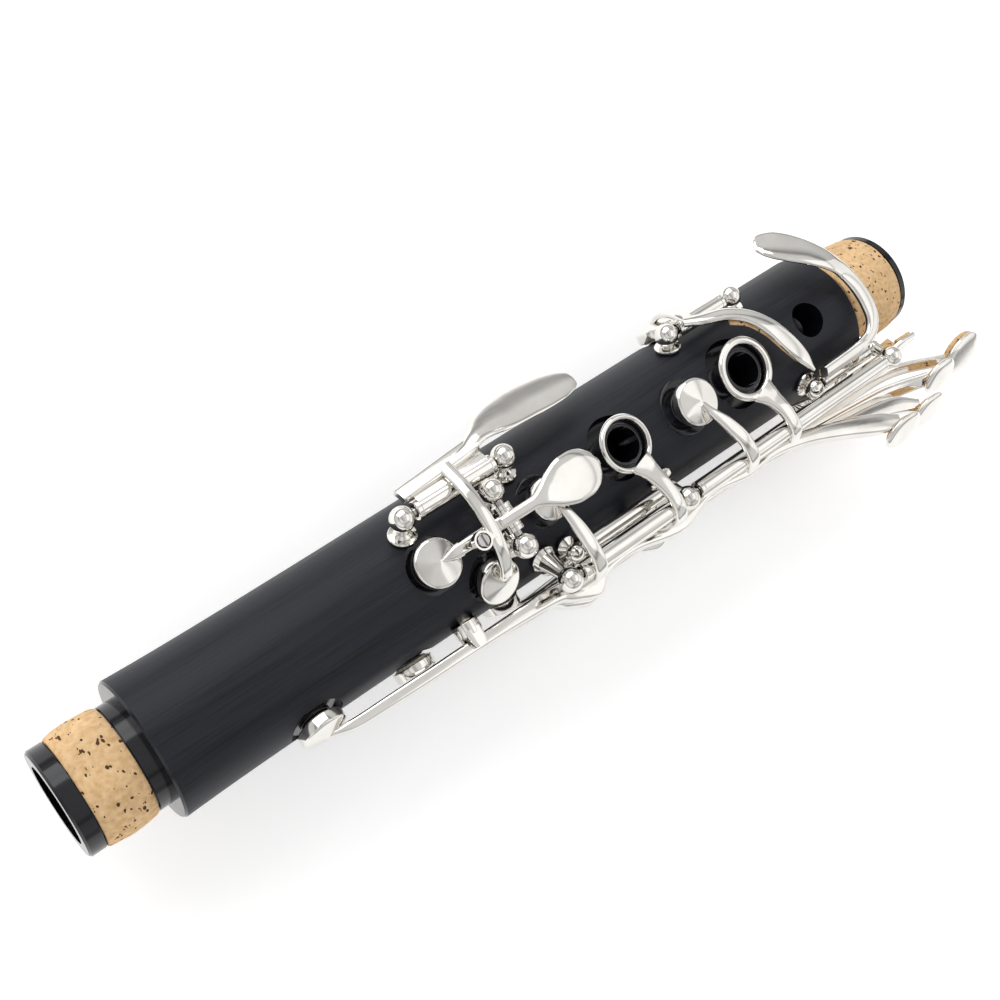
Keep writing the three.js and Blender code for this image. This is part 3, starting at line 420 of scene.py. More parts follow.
def section(x, angle, radius, width, thick, facing=None):
    """A section of an arm: its middle, the way its broad face looks, its width and thickness."""
    out = at(0, angle if facing is None else facing, 1)
    return at(x, angle, radius), out, width, thick


def grid_faces(rows, around):
    """Faces of a closed tube with `rows` spans of `around` sides, and a cap at each end."""
    faces = []
    for i in range(0, rows * around, around):
        for j in range(around):
            k = (j + 1) % around
            faces.append((i + j, i + k, i + around + k, i + around + j))
    faces.append(tuple(range(around - 1, -1, -1)))
    faces.append(tuple(rows * around + j for j in range(around)))
    return faces


def arm(sections, steps=7, power=3.2, sides=20, crown=0.0):
    """A forged arm swept through sections, with a rounded-oblong cross section."""
    points = [s[0] for s in sections]
    outs = [s[1] for s in sections]
    widths = [s[2] for s in sections]
    thicks = [s[3] for s in sections]
    spans = (len(sections) - 1) * steps
    vertices = []
    for i in range(spans + 1):
        along = i / steps
        span = min(int(along), len(sections) - 2)
        blend = along - span
        middle = catmull(points, along)
        ahead = catmull(points, min(along + 0.02, len(points) - 1 - 1e-9))
        behind = catmull(points, max(along - 0.02, 0))
        tangent = (ahead - behind).normalized()
        out = outs[span].lerp(outs[span + 1], blend)
        side = tangent.cross(out).normalized()
        up = side.cross(tangent).normalized()
        width = eased(widths, along) / 2
        thick = eased(thicks, along) / 2
        for j in range(sides):
            turn = 2 * math.pi * (j + 0.5) / sides
            across = math.copysign(abs(math.cos(turn)) ** (2 / power), math.cos(turn))
            rise = math.copysign(abs(math.sin(turn)) ** (2 / power), math.sin(turn))
            rise -= crown * across * across if rise > 0 else 0
            vertices.append(middle + side * (across * width) + up * (rise * thick))
    return vertices, grid_faces(spans, sides)


def solid(name, vertices, faces, finishes=(), marks=()):
    """A Blender object of one mesh in millimetres, with its faces turned outwards."""
    mesh = bpy.data.meshes.new(name)
    mesh.from_pydata([v * 0.001 for v in vertices], [], faces)
    for finish in finishes:
        mesh.materials.append(finish)
    for polygon, mark in zip(mesh.polygons, marks):
        polygon.material_index = mark
    work = bmesh.new()
    work.from_mesh(mesh)
    bmesh.ops.remove_doubles(work, verts=work.verts, dist=MERGE_DISTANCE)
    bmesh.ops.recalc_face_normals(work, faces=work.faces)
    work.to_mesh(mesh)
    work.free()
    made = bpy.data.objects.new(name, mesh)
    bpy.context.scene.collection.objects.link(made)
    return made


def piece(name, shell, finishes, body, node, smooth=34):
    """Makes one Blender object of a shell, riding on `body` in place of the CAD node."""
    made = solid(name, shell.vertices, shell.faces, finishes, shell.finishes)
    made.data.shade_smooth()
    made.data.set_sharp_from_angle(angle=math.radians(smooth))
    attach(made, body)
    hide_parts(node)


# ---- parts that repeat
def seat_height(pad):
    """Distance from the bore's axis to the bedplace that a pad closes on."""
    return body_radius(pad["x"]) + pad.get("boss", SEAT_RIM - SEAT_DEPTH)


def cup_top(pad):
    return seat_height(pad) + 2 * GAP + PAD_THICKNESS + CUP_WALL + CUP_CONE_HEIGHT


def cup(pad):
    """A pad cup: a rolled rim and a shallow pointed cone."""
    radius = pad["cup"]
    inside = PAD_THICKNESS + 2 * GAP
    shoulder = inside + CUP_WALL
    profile = [
        (0, inside), (radius - CUP_WALL, inside), (radius - CUP_WALL, shoulder - CUP_RIM_HEIGHT),
        (radius, shoulder - CUP_RIM_HEIGHT), (radius, shoulder - 0.15),
        (radius - 0.35, shoulder + 0.12), (radius * 0.5, shoulder + CUP_CONE_HEIGHT * 0.46),
        (0.5, shoulder + CUP_CONE_HEIGHT * 0.86), (0, shoulder + CUP_CONE_HEIGHT * 0.93),
    ]
    return turned(profile, pad["x"], pad["angle"], 64, 0.18, seat_height(pad))


def pad_shell(pad):
    """A skin-covered pad with a rounded edge and the ring its bedplace presses into it."""
    base = seat_height(pad) + GAP
    radius = pad["cup"] - CUP_WALL - GAP
    ring = pad["hole"] + 0.4
    profile = [
        (0, 0.12), (ring - 0.5, 0.10), (ring, 0.28), (ring + 0.45, 0.08), (radius - 0.6, 0.02),
        (radius - 0.15, 0.28), (radius, 0.8), (radius, PAD_THICKNESS), (0, PAD_THICKNESS),
    ]
    return turned(profile, pad["x"], pad["angle"], 48, 0.25, base)


def straight_tube(start, end, radius, bore):
    """A hinge tube: turned ends with a fine groove near each."""
    axis = end - start
    length = axis.length
    groove = 0.09
    profile = [
        (bore, 0), (radius - 0.12, 0), (radius, 0.12), (radius, 0.9), (radius - groove, 1.0),
        (radius, 1.1), (radius, length - 1.1), (radius - groove, length - 1.0),
        (radius, length - 0.9), (radius, length - 0.12), (radius - 0.12, length), (bore, length),
        (bore, 0),
    ]
    return lathe(profile, start, axis, 40)


def line_tube(line, start, end, radius=TUBE_RADIUS, bore=1.3):
    return straight_tube(at(start, *line), at(end, *line), radius, bore)


def rod_shell(start, end, radius):
    """A rod with rounded ends."""
    axis = end - start
    length = axis.length
    profile = [(0, 0), (radius * 0.75, 0), (radius, 0.18), (radius, length - 0.18)]
    profile += [(radius * 0.75, length), (0, length)]
    return lathe(rounded(profile, 0.1, 2), start, axis, 28)


def post_shell(x, angle, height, ball=BALL_RADIUS, foot=3.0, neck=1.35, flared=False):
    """A turned post: foot disc, waisted stem and ball, on a stem that goes into the body."""
    surface = body_radius(x) + GAP
    profile = [(0, surface - 4), (1.4, surface - 4), (1.4, surface), (foot - 0.15, surface)]
    profile += [(foot, surface + 0.2), (foot, surface + 0.55), (foot - 0.2, surface + 0.78)]
    start = math.radians(-58)
    low = height + ball * math.sin(start)
    wide = neck + 0.85 if flared else neck
    if low - surface > 2.2:
        profile.append((wide + 0.55, surface + 0.95))
        profile.append((wide, surface + 1.5))
        profile.append((neck, low - 0.35))
    profile.append((min(neck + 0.1, ball * math.cos(start)), low - 0.1))
    for step in range(15):
        turn = start + (math.pi / 2 - start) * step / 14
        profile.append((max(ball * math.cos(turn), 0), height + ball * math.sin(turn)))
    profile[-1] = (0, height + ball)
    return turned(profile, x, angle, 40)


def screw_face(centre, axis):
    """The head of a rod's screw, seen in the side of a post's ball."""
    radius = SCREW_RADIUS
    axis = Vector(axis).normalized()
    profile = [(0, -0.5), (radius, -0.5), (radius, -0.12), (radius - 0.14, 0), (0, 0)]
    return lathe(profile, centre, axis, 28)


def slotted_head(base, axis, low, high, radius, slot):
    """A screw's cylinder with a straight slot across its top."""
    axis = Vector(axis).normalized()
    side = axis.cross(X_AXIS).normalized()
    other = axis.cross(side).normalized()
    floor = high - 0.55
    disc = [(0, low), (radius, low), (radius, floor), (0, floor)]
    shell = Shell().add(*lathe(disc, base, axis, 48))
    edge = math.asin(slot / 2 / radius)
    for sign in (1, -1):
        turns = [edge + (math.pi - 2 * edge) * step / 18 for step in range(19)]
        outline = [(radius * math.cos(turn), sign * radius * math.sin(turn)) for turn in turns]
        vertices = []
        for height, inset in ((floor, 0), (high - 0.12, 0), (high, 0.12)):
            scale = 1 - inset / radius
            level = base + axis * height
            vertices += [level + side * (u * scale) + other * (v * scale) for u, v in outline]
        count = len(outline)
        faces = [tuple(range(count)), tuple(range(3 * count - 1, 2 * count - 1, -1))]
        for row in (0, count):
            for k in range(count):
                after = (k + 1) % count
                faces.append((row + after, row + k, row + count + k, row + count + after))
        shell.add(vertices, faces)
    return shell


def oval(centre, facing, long, short, thick, lean, flatness):
    """An oval touch with a rounded rim, facing an angle round the bore."""
    rings = []
    rows = 14
    around = 48
    for i in range(rows + 1):
        turn = -math.pi / 2 + math.pi * i / rows
        for j in range(around):
            spin = 2 * math.pi * j / around
            reach = abs(math.cos(turn)) ** flatness
            height = thick / 2 * math.copysign(abs(math.sin(turn)) ** 0.9, math.sin(turn))
            point = (long * reach * math.cos(spin), short * reach * math.sin(spin), height)
            rings.append(Vector(point))
    out = at(0, facing, 1)
    across = out.cross(X_AXIS)
    basis = Matrix((X_AXIS, across, out)).transposed().to_4x4()
    place = Matrix.Translation(centre) @ basis @ Matrix.Rotation(math.radians(lean), 4, "Z")
    vertices = [place @ v for v in rings]
    return vertices, grid_faces(rows, around)


# ---- body
def cutter(shell_data, name="cutter"):
    return solid(name, *shell_data)


def combine(target, tool, operation):
    """Applies one boolean to `target` and removes its tool."""
    modifier = target.modifiers.new("cut", "BOOLEAN")
    modifier.operation = operation
    modifier.object = tool
    modifier.solver = "EXACT"
    bpy.context.view_layer.objects.active = target
    bpy.ops.object.modifier_apply(modifier=modifier.name)
    bpy.data.objects.remove(tool)


def cut(target, shell_data):
    combine(target, cutter(shell_data), "DIFFERENCE")


def join(target, shell_data):
    combine(target, cutter(shell_data), "UNION")


def radial(x, angle, low, high, radius, segments=64):
    profile = [(0, low), (radius, low), (radius, high), (0, high)]
    return turned(profile, x, angle, segments)


def rounded_collar(x, angle, low, high, radius):
    profile = [(0, low), (radius, low), (radius, high - 0.3), (radius - 0.3, high), (0, high)]
    return turned(profile, x, angle, 64, 0.3)


def make_body():
    """The bored tube with tenons, seats, bedplaces, chimneys and holes."""
    stations = [UPPER_SHOULDER + 0.45, 20, 24, 29, 36, 46, 60, LOWER_SHOULDER - 0.45]
    profile = [
        (0, 0),
        (UPPER_TENON_RADIUS - 0.45, 0),
        (UPPER_TENON_RADIUS, 0.45),
        (UPPER_TENON_RADIUS, UPPER_CORK[0] - GAP),
        (UPPER_SEAT, UPPER_CORK[0] - GAP),
        (UPPER_SEAT, UPPER_CORK[1] + GAP),
        (UPPER_TENON_RADIUS, UPPER_CORK[1] + GAP),
        (UPPER_TENON_RADIUS, UPPER_SHOULDER),
        (body_radius(UPPER_SHOULDER) - 0.4, UPPER_SHOULDER),
        *[(body_radius(x), x) for x in stations],
        (body_radius(LOWER_SHOULDER) - 0.4, LOWER_SHOULDER),
        (LOWER_TENON_RADIUS, LOWER_SHOULDER),
        (LOWER_TENON_RADIUS, LOWER_CORK[0] - GAP),
        (LOWER_SEAT, LOWER_CORK[0] - GAP),
        (LOWER_SEAT, LOWER_CORK[1] + GAP),
        (LOWER_TENON_RADIUS, LOWER_CORK[1] + GAP),
        (LOWER_TENON_RADIUS, LENGTH - 0.7),
        (LOWER_TENON_RADIUS - 0.7, LENGTH),
        (0, LENGTH),
    ]
    made = cutter(lathe(profile, Vector(), X_AXIS, 192), "body_wood")
    for pad in PADS.values():
        surface = body_radius(pad["x"])
        if "boss" not in pad:
            tool = radial(pad["x"], pad["angle"], surface - SEAT_DEPTH, 24, pad["cup"] + 0.9)
            cut(made, tool)
    for hole in (FIRST_HOLE, SECOND_HOLE):
        surface = body_radius(hole["x"])
        seat = cutter(radial(hole["x"], hole["angle"], surface - 4, 24, hole["seat"]))
        core = [(0, 90), (surface - SEAT_DEPTH, 90), (surface - SEAT_DEPTH, 200), (0, 200)]
        cut(seat, lathe(core, Vector(), X_AXIS, 192))
        combine(made, seat, "DIFFERENCE")
        collar = rounded_collar(hole["x"], hole["angle"], 11, surface + hole["height"], hole["top"])
        join(made, collar)
    for pad in PADS.values():
        top = seat_height(pad)
        if "boss" in pad:
            boss = rounded_collar(pad["x"], pad["angle"], 11, top - 0.5, pad["cup"] + 1.2)
            join(made, boss)
        collar = rounded_collar(pad["x"], pad["angle"], 11, top, pad["hole"] + 0.8)
        join(made, collar)
    for pad in PADS.values():
        extra = 1.1 if pad is PADS["register"] else 0
        tool = radial(pad["x"], pad["angle"], 0, 24, pad["hole"] + extra, 48)
        cut(made, tool)
    for hole in (FIRST_HOLE, SECOND_HOLE, THIRD_HOLE, THUMB_HOLE):
        extra = 1.1 if hole is THUMB_HOLE else 0
        tool = radial(hole["x"], hole["angle"], 0, 24, hole["hole"] + extra)
        cut(made, tool)
    bore = [
        (0, -1), (MOUTH_RADIUS + 0.4, -1), (BORE_RADIUS, 1.6), (BORE_RADIUS, LENGTH - 1.6),
        (MOUTH_RADIUS + 0.4, LENGTH + 1), (0, LENGTH + 1),
    ]
    cut(made, lathe(bore, Vector(), X_AXIS, 128))
    finish_body(made)
    return made


def finish_body(made):
    """Satin wood on the outside of the tube, polished wood on every turned or bored surface."""
    mesh = made.data
    mesh.materials.clear()
    mesh.materials.append(SATIN_WOOD)
    mesh.materials.append(GLOSS_WOOD)
    for polygon in mesh.polygons:
        centre = polygon.center * 1000
        radius = math.hypot(centre.y, centre.z)
        outward = Vector((0, centre.y, centre.z)).normalized().dot(polygon.normal)
        tube = UPPER_SHOULDER < centre.x < LOWER_SHOULDER
        on_skin = abs(radius - body_radius(centre.x)) < 0.12 and outward > 0.97
        polygon.material_index = 0 if tube and on_skin else 1
    mesh.shade_smooth()
    mesh.set_sharp_from_angle(angle=math.radians(30))
    modifier = made.modifiers.new("edges", "BEVEL")
    modifier.width = 0.00018
    modifier.segments = 2
    modifier.limit_method = "ANGLE"
    modifier.angle_limit = math.radians(50)
    modifier.harden_normals = False
    modifier.use_clamp_overlap = True
    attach(made, "joint_body")
    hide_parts("body")


def make_cork(name, span, seat, edge, middle, node):
    """A tenon's cork: sanded to a soft bulge, with slightly uneven sides."""
    low, high = span
    profile = [(seat + GAP, low), (edge - 0.35, low)]
    rows = 26
    for i in range(rows + 1):
        t = i / rows
        bulge = math.sin(math.pi * t) ** 0.55
        radius = edge + (middle - edge) * bulge * 0.97
        profile.append((radius, low + (high - low) * (0.012 + 0.976 * t)))
    profile += [(edge - 0.35, high), (seat + GAP, high), (seat + GAP, low)]
    vertices, faces = lathe(profile, Vector(), X_AXIS, 160)
    uneven = []
    for v in vertices:
        turn = math.atan2(v.y, v.z)
        wave = math.sin(turn * 5 + v.x) * 0.035 + math.sin(turn * 11 - v.x * 1.7) * 0.02
        radius = math.hypot(v.y, v.z)
        keep = 1 if radius < edge - 0.2 else 1 + (wave - 0.055) / radius
        uneven.append(Vector((v.x, v.y * keep, v.z * keep)))
    piece(name, Shell().add(uneven, faces), [CORK], "joint_body", node, smooth=40)


def make_body_fittings():
    """The thumb hole's bush and the metal tube under the register pad."""
    hole = THUMB_HOLE
    wall = [
        (hole["hole"], 7.6), (hole["tube"], 7.6), (hole["tube"], hole["top"] - 0.4),
        (hole["tube"] - 0.4, hole["top"]), (hole["hole"] + 0.3, hole["top"]),
        (hole["hole"], hole["top"] - 0.3), (hole["hole"], 7.6),
    ]
    bush = turned(wall, hole["x"], 180, 64, 0.3)
    piece("thumb_bush", Shell().add(*bush), [GLOSS_WOOD], "joint_body", "thumb_tube")
    pad = PADS["register"]
    top = seat_height(pad)
    nipple = [(1.5, 5.7), (2.55, 5.7), (2.55, top - 0.2), (2.3, top), (1.7, top), (1.5, top - 0.2)]
    nipple.append((1.5, 5.7))
    tube = turned(nipple, pad["x"], 180, 48, 0.12)
    piece("register_nipple", Shell().add(*tube), [SILVER], "joint_body", "register_tube")


# ---- posts and rods
POSTS = {
    "gsharp_post_upper": (78, GSHARP_LINE, {}),
    "gsharp_post_lower": (103.6, GSHARP_LINE, {}),
    "ring_post_upper": (102.5, RING_LINE, {"flared": True}),
    "ring_post_middle": (136.5, RING_LINE, {}),
    "ring_post_lower": (205.4, RING_LINE, {"foot": 2.6}),
    "thumb_ring_post": (108.6, INNER_LINE, {"ball": SMALL_BALL_RADIUS, "foot": 2.2, "neck": 1.1}),
    "csharp_post": (184, INNER_LINE, {"ball": 2.3}),
    "sliver_post_upper": (156.6, SLIVER_LINE, {}),
    "sliver_post_lower": (177, SLIVER_LINE, {}),
}
# Posts with a second, smaller ball for the inner line, and posts that show their rod's screw.
DOUBLED = ("ring_post_middle", "ring_post_lower")
SCREWED = ("gsharp_post_lower", "ring_post_lower", "sliver_post_lower")
# The posts of the rods that cross the bore: the rod's place, the post's angle, the lean that sets
# its height, and the side of the ball that shows the screw.
A_POST_ANGLE = math.degrees(math.atan2(6.35, A_HINGE[1]))
CROSSING_POSTS = {
    "a_post_left": (A_HINGE, A_POST_ANGLE, 18.2, 0),
    "a_post_right": (A_HINGE, -A_POST_ANGLE, 18.2, -1),
    "register_post_left": (REGISTER_HINGE, 161, 19, 1),
    "register_post_right": (REGISTER_HINGE, 199, 19, -1),
}


def ball_shell(centre, radius):
    rows = [(-math.pi / 2 + math.pi * i / 16) for i in range(17)]
    profile = [(max(radius * math.cos(t), 0), radius * math.sin(t)) for t in rows]
    profile[0] = (0, -radius)
    profile[-1] = (0, radius)
    return lathe(profile, centre, X_AXIS, 40)


def make_posts():
    """Every ball post, with the screw heads in their balls."""
    for name, (x, line, options) in POSTS.items():
        shell = Shell().add(*post_shell(x, *line, **options))
        if name in DOUBLED:
            shell.add(*ball_shell(at(x, *INNER_LINE), SMALL_BALL_RADIUS))
        if name in SCREWED:
            flat = math.sqrt(BALL_RADIUS**2 - SCREW_RADIUS**2)
            shell.add(*screw_face(at(x + (flat + 0.06), *line), X_AXIS), 1)
        piece(name + "_turned", shell, [SILVER, STEEL], "joint_body", name)
    for name, (hinge, angle, lean, side) in CROSSING_POSTS.items():
        height = hinge[1] / math.cos(math.radians(lean))
        shell = Shell().add(*post_shell(hinge[0], angle, height))
        if side:
            head = at(hinge[0], angle, height) + Vector((0, side * 2.45, 0))
            shell.add(*screw_face(head, (0, side, 0)), 1)
        piece(name + "_turned", shell, [SILVER, STEEL], "joint_body", name)


def make_rods():
    """The steel rods that show between tubes and posts."""
    lines = {
        "gsharp_rod": (GSHARP_LINE, 76.2, 105.4, ROD_RADIUS),
        "ring_rod_upper": (RING_LINE, 100.7, 136.1, ROD_RADIUS),
        "ring_rod_lower": (RING_LINE, 136.9, 207.2, ROD_RADIUS),
        "thumb_ring_rod": (INNER_LINE, 107.4, 137.9, SMALL_ROD_RADIUS),
        "csharp_rod": (INNER_LINE, 182.4, 206.8, SMALL_ROD_RADIUS),
        "sliver_rod": (SLIVER_LINE, 154.8, 178.8, ROD_RADIUS),
    }
    for name, (line, start, end, radius) in lines.items():
        shell = Shell().add(*rod_shell(at(start, *line), at(end, *line), radius))
        piece(name + "_turned", shell, [STEEL], "joint_body", name)
    for name, hinge, angle in (("a_rod", A_HINGE, 0), ("register_rod", REGISTER_HINGE, 180)):
        middle = at(hinge[0], angle, hinge[1])
        half = Vector((0, 8.2, 0))
        shell = Shell().add(*rod_shell(middle - half, middle + half, ROD_RADIUS))
        piece(name + "_turned", shell, [STEEL], "joint_body", name)


def pair_point(pair, x, height, offset):
    """A point in a side-key pair's frame."""
    return at(x, pair["angle"], height) + at(0, pair["angle"] + 90, offset)


def pair_section(pair, x, height, offset, width, thick):
    return pair_point(pair, x, height, offset), at(0, pair["angle"], 1), width, thick


def make_guide():
    """The slotted pillar beside the longest side key: two cheeks on a round foot."""
    x, angle = 81.6, -60
    surface = body_radius(x) + GAP
    shell = Shell()
    shell.add(*radial(x, angle, surface - 4, surface + 0.5, 1.4, 32))
    head = pair_point(UPPER_PAIR, x, 20, PAIR_OFFSET)
    foot = at(x, angle, 13.4)
    axis = (head - foot).normalized()
    length = (head - foot).length
    foot_disc = [(0, 1.6), (2.9, 1.6), (2.9, length - 3.0), (2.65, length - 2.8), (0, length - 2.8)]
    shell.add(*lathe(rounded(foot_disc, 0.2), foot, axis, 48))
    sideways = axis.cross(X_AXIS).normalized()
    for sign in (1, -1):
        cheek = foot + sideways * (sign * 2.38)
        profile = [
            (cheek + axis * (length - 4.0), sideways, 3.6, 0.9),
            (cheek + axis * (length - 1.4), sideways, 3.4, 0.9),
            (cheek + axis * (length - 0.15), sideways, 2.6, 0.8),
        ]
        shell.add(*arm(profile, 5, 4.0))
    piece("trill_guide_turned", shell, [SILVER], "joint_body", "trill_guide")


def make_saddles():
    """The two-eared saddles that carry the side keys, and their cross rods."""
    for name, pair in (("upper_side", UPPER_PAIR), ("lower_side", LOWER_PAIR)):
        inner = 2 * PAIR_OFFSET - 0.5
        shell = Shell()
        base = body_radius(pair["x"]) + GAP
        width = math.degrees((inner + 1.2) / base)
        strap = []
        for step in range(9):
            angle = pair["angle"] + width * (step / 4 - 1)
            strap.append((at(pair["x"], angle, base + 0.55), at(0, angle, 1), 8.2, 1.0))
        shell.add(*arm(strap, 3, 6.0))
        for sign in (1, -1):
            offset = sign * (inner + 0.6)
            outward = at(0, pair["angle"] + 90, 1)
            foot = pair_point(pair, pair["x"], 15.4, offset)
            neck = pair_point(pair, pair["x"], 17.2, offset)
            head = pair_point(pair, pair["x"], pair["height"], offset)
            ear = [(foot, outward, 4.6, 1.1), (neck, outward, 3.3, 1.1), (head, outward, 3.3, 1.1)]
            shell.add(*arm(ear, 5, 6.0))
            eye = [(0, -0.58), (1.88, -0.58), (1.88, 0.58), (0, 0.58)]
            shell.add(*lathe(rounded(eye, 0.15), head, outward, 40))
        piece(name + "_saddle_forged", shell, [SILVER], "joint_body", name + "_saddle")
        half = at(0, pair["angle"] + 90, inner + 1.45)
        middle = pair_point(pair, pair["x"], pair["height"], 0)
        rod = Shell().add(*rod_shell(middle - half, middle + half, 0.8))
        piece(name + "_rod_turned", rod, [STEEL], "joint_body", name + "_rod")


# ---- keys on lines along the bore
def spear(pad, start, width):
    """The pointed end of an arm, lying on its cup from `start` to just past the top."""
    tip = at(pad["x"], pad["angle"], cup_top(pad) - 0.35)
    out = at(0, pad["angle"], 1)
    path = [
        (start, out, width, 1.5), (start.lerp(tip, 0.35), out, width * 0.86, 1.3),
        (start.lerp(tip, 0.98), out, 0.25, 0.5),
    ]
    return arm(path, 5, 2.2, 16)


def make_gsharp_key():
    pad = PADS["gsharp"]
    shell = Shell()
    shell.add(*line_tube(GSHARP_LINE, 81.1, 100.6))
    spoon = [
        (79.8, 40, 22.9, 3.1, 1.6, 34), (90, 41, 23.1, 3.3, 1.7, 34),
        (97.0, 42.5, 23.4, 3.6, 1.8, 36), (100.6, 45.6, 23.9, 4.4, 1.8, 38),
        (104.0, 48.6, 24.1, 7.4, 1.7, 38), (108.0, 50.4, 24.1, 10.0, 1.7, 38),
        (113.0, 51.6, 23.9, 11.0, 1.7, 38), (118.4, 51.4, 23.6, 10.9, 1.6, 38),
        (123.2, 50.9, 23.3, 9.8, 1.5, 38), (126.2, 50.4, 23.1, 7.8, 1.4, 38),
        (127.8, 50.1, 23.0, 5.4, 1.2, 38), (128.4, 50.0, 22.9, 3.2, 0.9, 38),
        (128.6, 49.9, 22.9, 1.5, 0.6, 38),
    ]
    shell.sweep(spoon, 8, 2.15, 36)
    square = [(79.7, 40, 22.9, 3.1, 1.6, 34), (99.6, 43.6, 23.5, 3.4, 1.7, 37)]
    shell.sweep(square, 6, 7.0)
    bridge = [
        (91, 41, 23.5, 3.1, 1.7), (90.8, 25, 23.1, 2.9, 1.7), (90.6, 8, 22.6, 2.9, 1.7),
        (90.4, -8, 22.1, 2.9, 1.7), (90.2, -21, 21.1, 2.7, 1.6), (90.0, -27, 20.3, 2.7, 1.5),
    ]
    shell.sweep(bridge)
    shell.add(*spear(pad, at(90.0, -26.6, 20.3), 3.0))
    rib = [(82, 36, 21.8, 3.2, 1.5), (99.5, 36, 21.8, 3.2, 1.5)]
    shell.sweep(rib, 3, 5.0)
    shell.sweep([(90.4, -2, 22.4, 2.1, 1.5), (89.0, -2, 22.4, 2.1, 1.5)], 3, 5.0)
    collar = [(1.55, 21.55), (1.95, 21.55), (1.95, 23.35), (1.55, 23.35), (1.55, 21.55)]
    shell.add(*turned(collar, 87.4, -2, 48))
    shell.add(*cup(pad))
    piece("gsharp_key_forged", shell, [SILVER], "gsharp_key_body", "gsharp_key")
    screw = slotted_head(at(87.4, -2, 0), at(0, -2, 1), 21.5, 23.5, 1.25, 0.62)
    piece("adjusting_screw_turned", screw, [STEEL], "gsharp_key_body", "adjusting_screw")


def make_a_key():
    pad = PADS["a"]
    shell = Shell()
    middle = at(A_HINGE[0], 0, A_HINGE[1])
    shell.add(*straight_tube(middle - Vector((0, 3, 0)), middle + Vector((0, 3, 0)), 1.88, 1.3))
    touch = [
        (93.6, 0, 21.3, 2.6, 1.8), (97.5, 0, 22.1, 2.6, 1.8), (101.0, 0, 22.9, 2.6, 1.8),
        (103.2, 0, 23.4, 4.4, 1.7), (106.0, 0, 23.6, 7.6, 1.7), (109.4, 0, 23.65, 10.0, 1.8),
        (112.8, 0, 23.65, 10.2, 1.7), (115.6, 0, 23.5, 8.4, 1.5), (117.3, 0, 23.2, 5.4, 1.3),
        (118.2, 0, 23.0, 2.0, 0.9),
    ]
    shell.sweep(touch, 7, 2.1, 32)
    link = [
        (97, 0, 20.4, 2.8, 2.0), (92.5, 0, 19.5, 2.7, 1.5), (87.5, 0, 19.1, 2.7, 1.5),
        (84.2, 0, 18.9, 2.5, 1.4),
    ]
    shell.sweep(link, 7, 3.0)
    shell.add(*spear(pad, at(84.4, 0, 18.85), 2.9))
    shell.add(*cup(pad))
    piece("a_key_forged", shell, [SILVER], "a_key_body", "a_key")


def ring(hole, inner, outer):
    """A finger ring with a rounded upper face."""
    top = body_radius(hole["x"]) + hole["height"] + GAP
    profile = [
        (inner, top - 1.3), (outer - 0.3, top - 1.3), (outer, top - 0.95), (outer, top - 0.55),
        (outer - 0.35, top - 0.12), ((inner + outer) / 2, top), (inner + 0.3, top - 0.14),
        (inner, top - 0.5), (inner, top - 1.3),
    ]
    return turned(profile, hole["x"], hole["angle"], 72, 0.2)


def make_first_ring_key():
    pad = PADS["vent"]
    top = cup_top(pad) + 1.3
    shell = Shell().add(*ring(FIRST_HOLE, 5.1, 6.4)).add(*cup(pad)).lifted(120)
    vent = [
        (106.9, -5, top - 0.45, 1.3, 1.1), (107.0, -12, 21.3, 2.1, 1.5),
        (107.8, -24, 22.9, 2.9, 1.7), (108.4, -36, 24.9, 3.1, 1.7), (108.8, -46, 26.1, 3.1, 1.5),
        (109.0, -53, 25.5, 2.9, 1.3),
    ]
    shell.sweep(vent)
    link = [
        (129.8, -16, 18.65, 6.2, 1.1, -4), (130.6, -23, 19.8, 4.6, 1.3, -10),
        (131.4, -33, 22.6, 3.4, 1.6), (132.0, -42, 25.2, 3.1, 1.7), (132.0, -49, 26.1, 3.1, 1.4),
        (132.0, -55, 25.3, 2.9, 1.2),
    ]
    shell.sweep(link)
    shell.add(*line_tube(RING_LINE, 105.5, 133.6))
    piece("first_ring_key_forged", shell, [SILVER], "first_ring_body", "first_ring_key")
    skin = Shell().add(*pad_shell(pad)).lifted(120)
    piece("first_ring_pad_skin", skin, [PAD], "first_ring_body", "first_ring_pad")


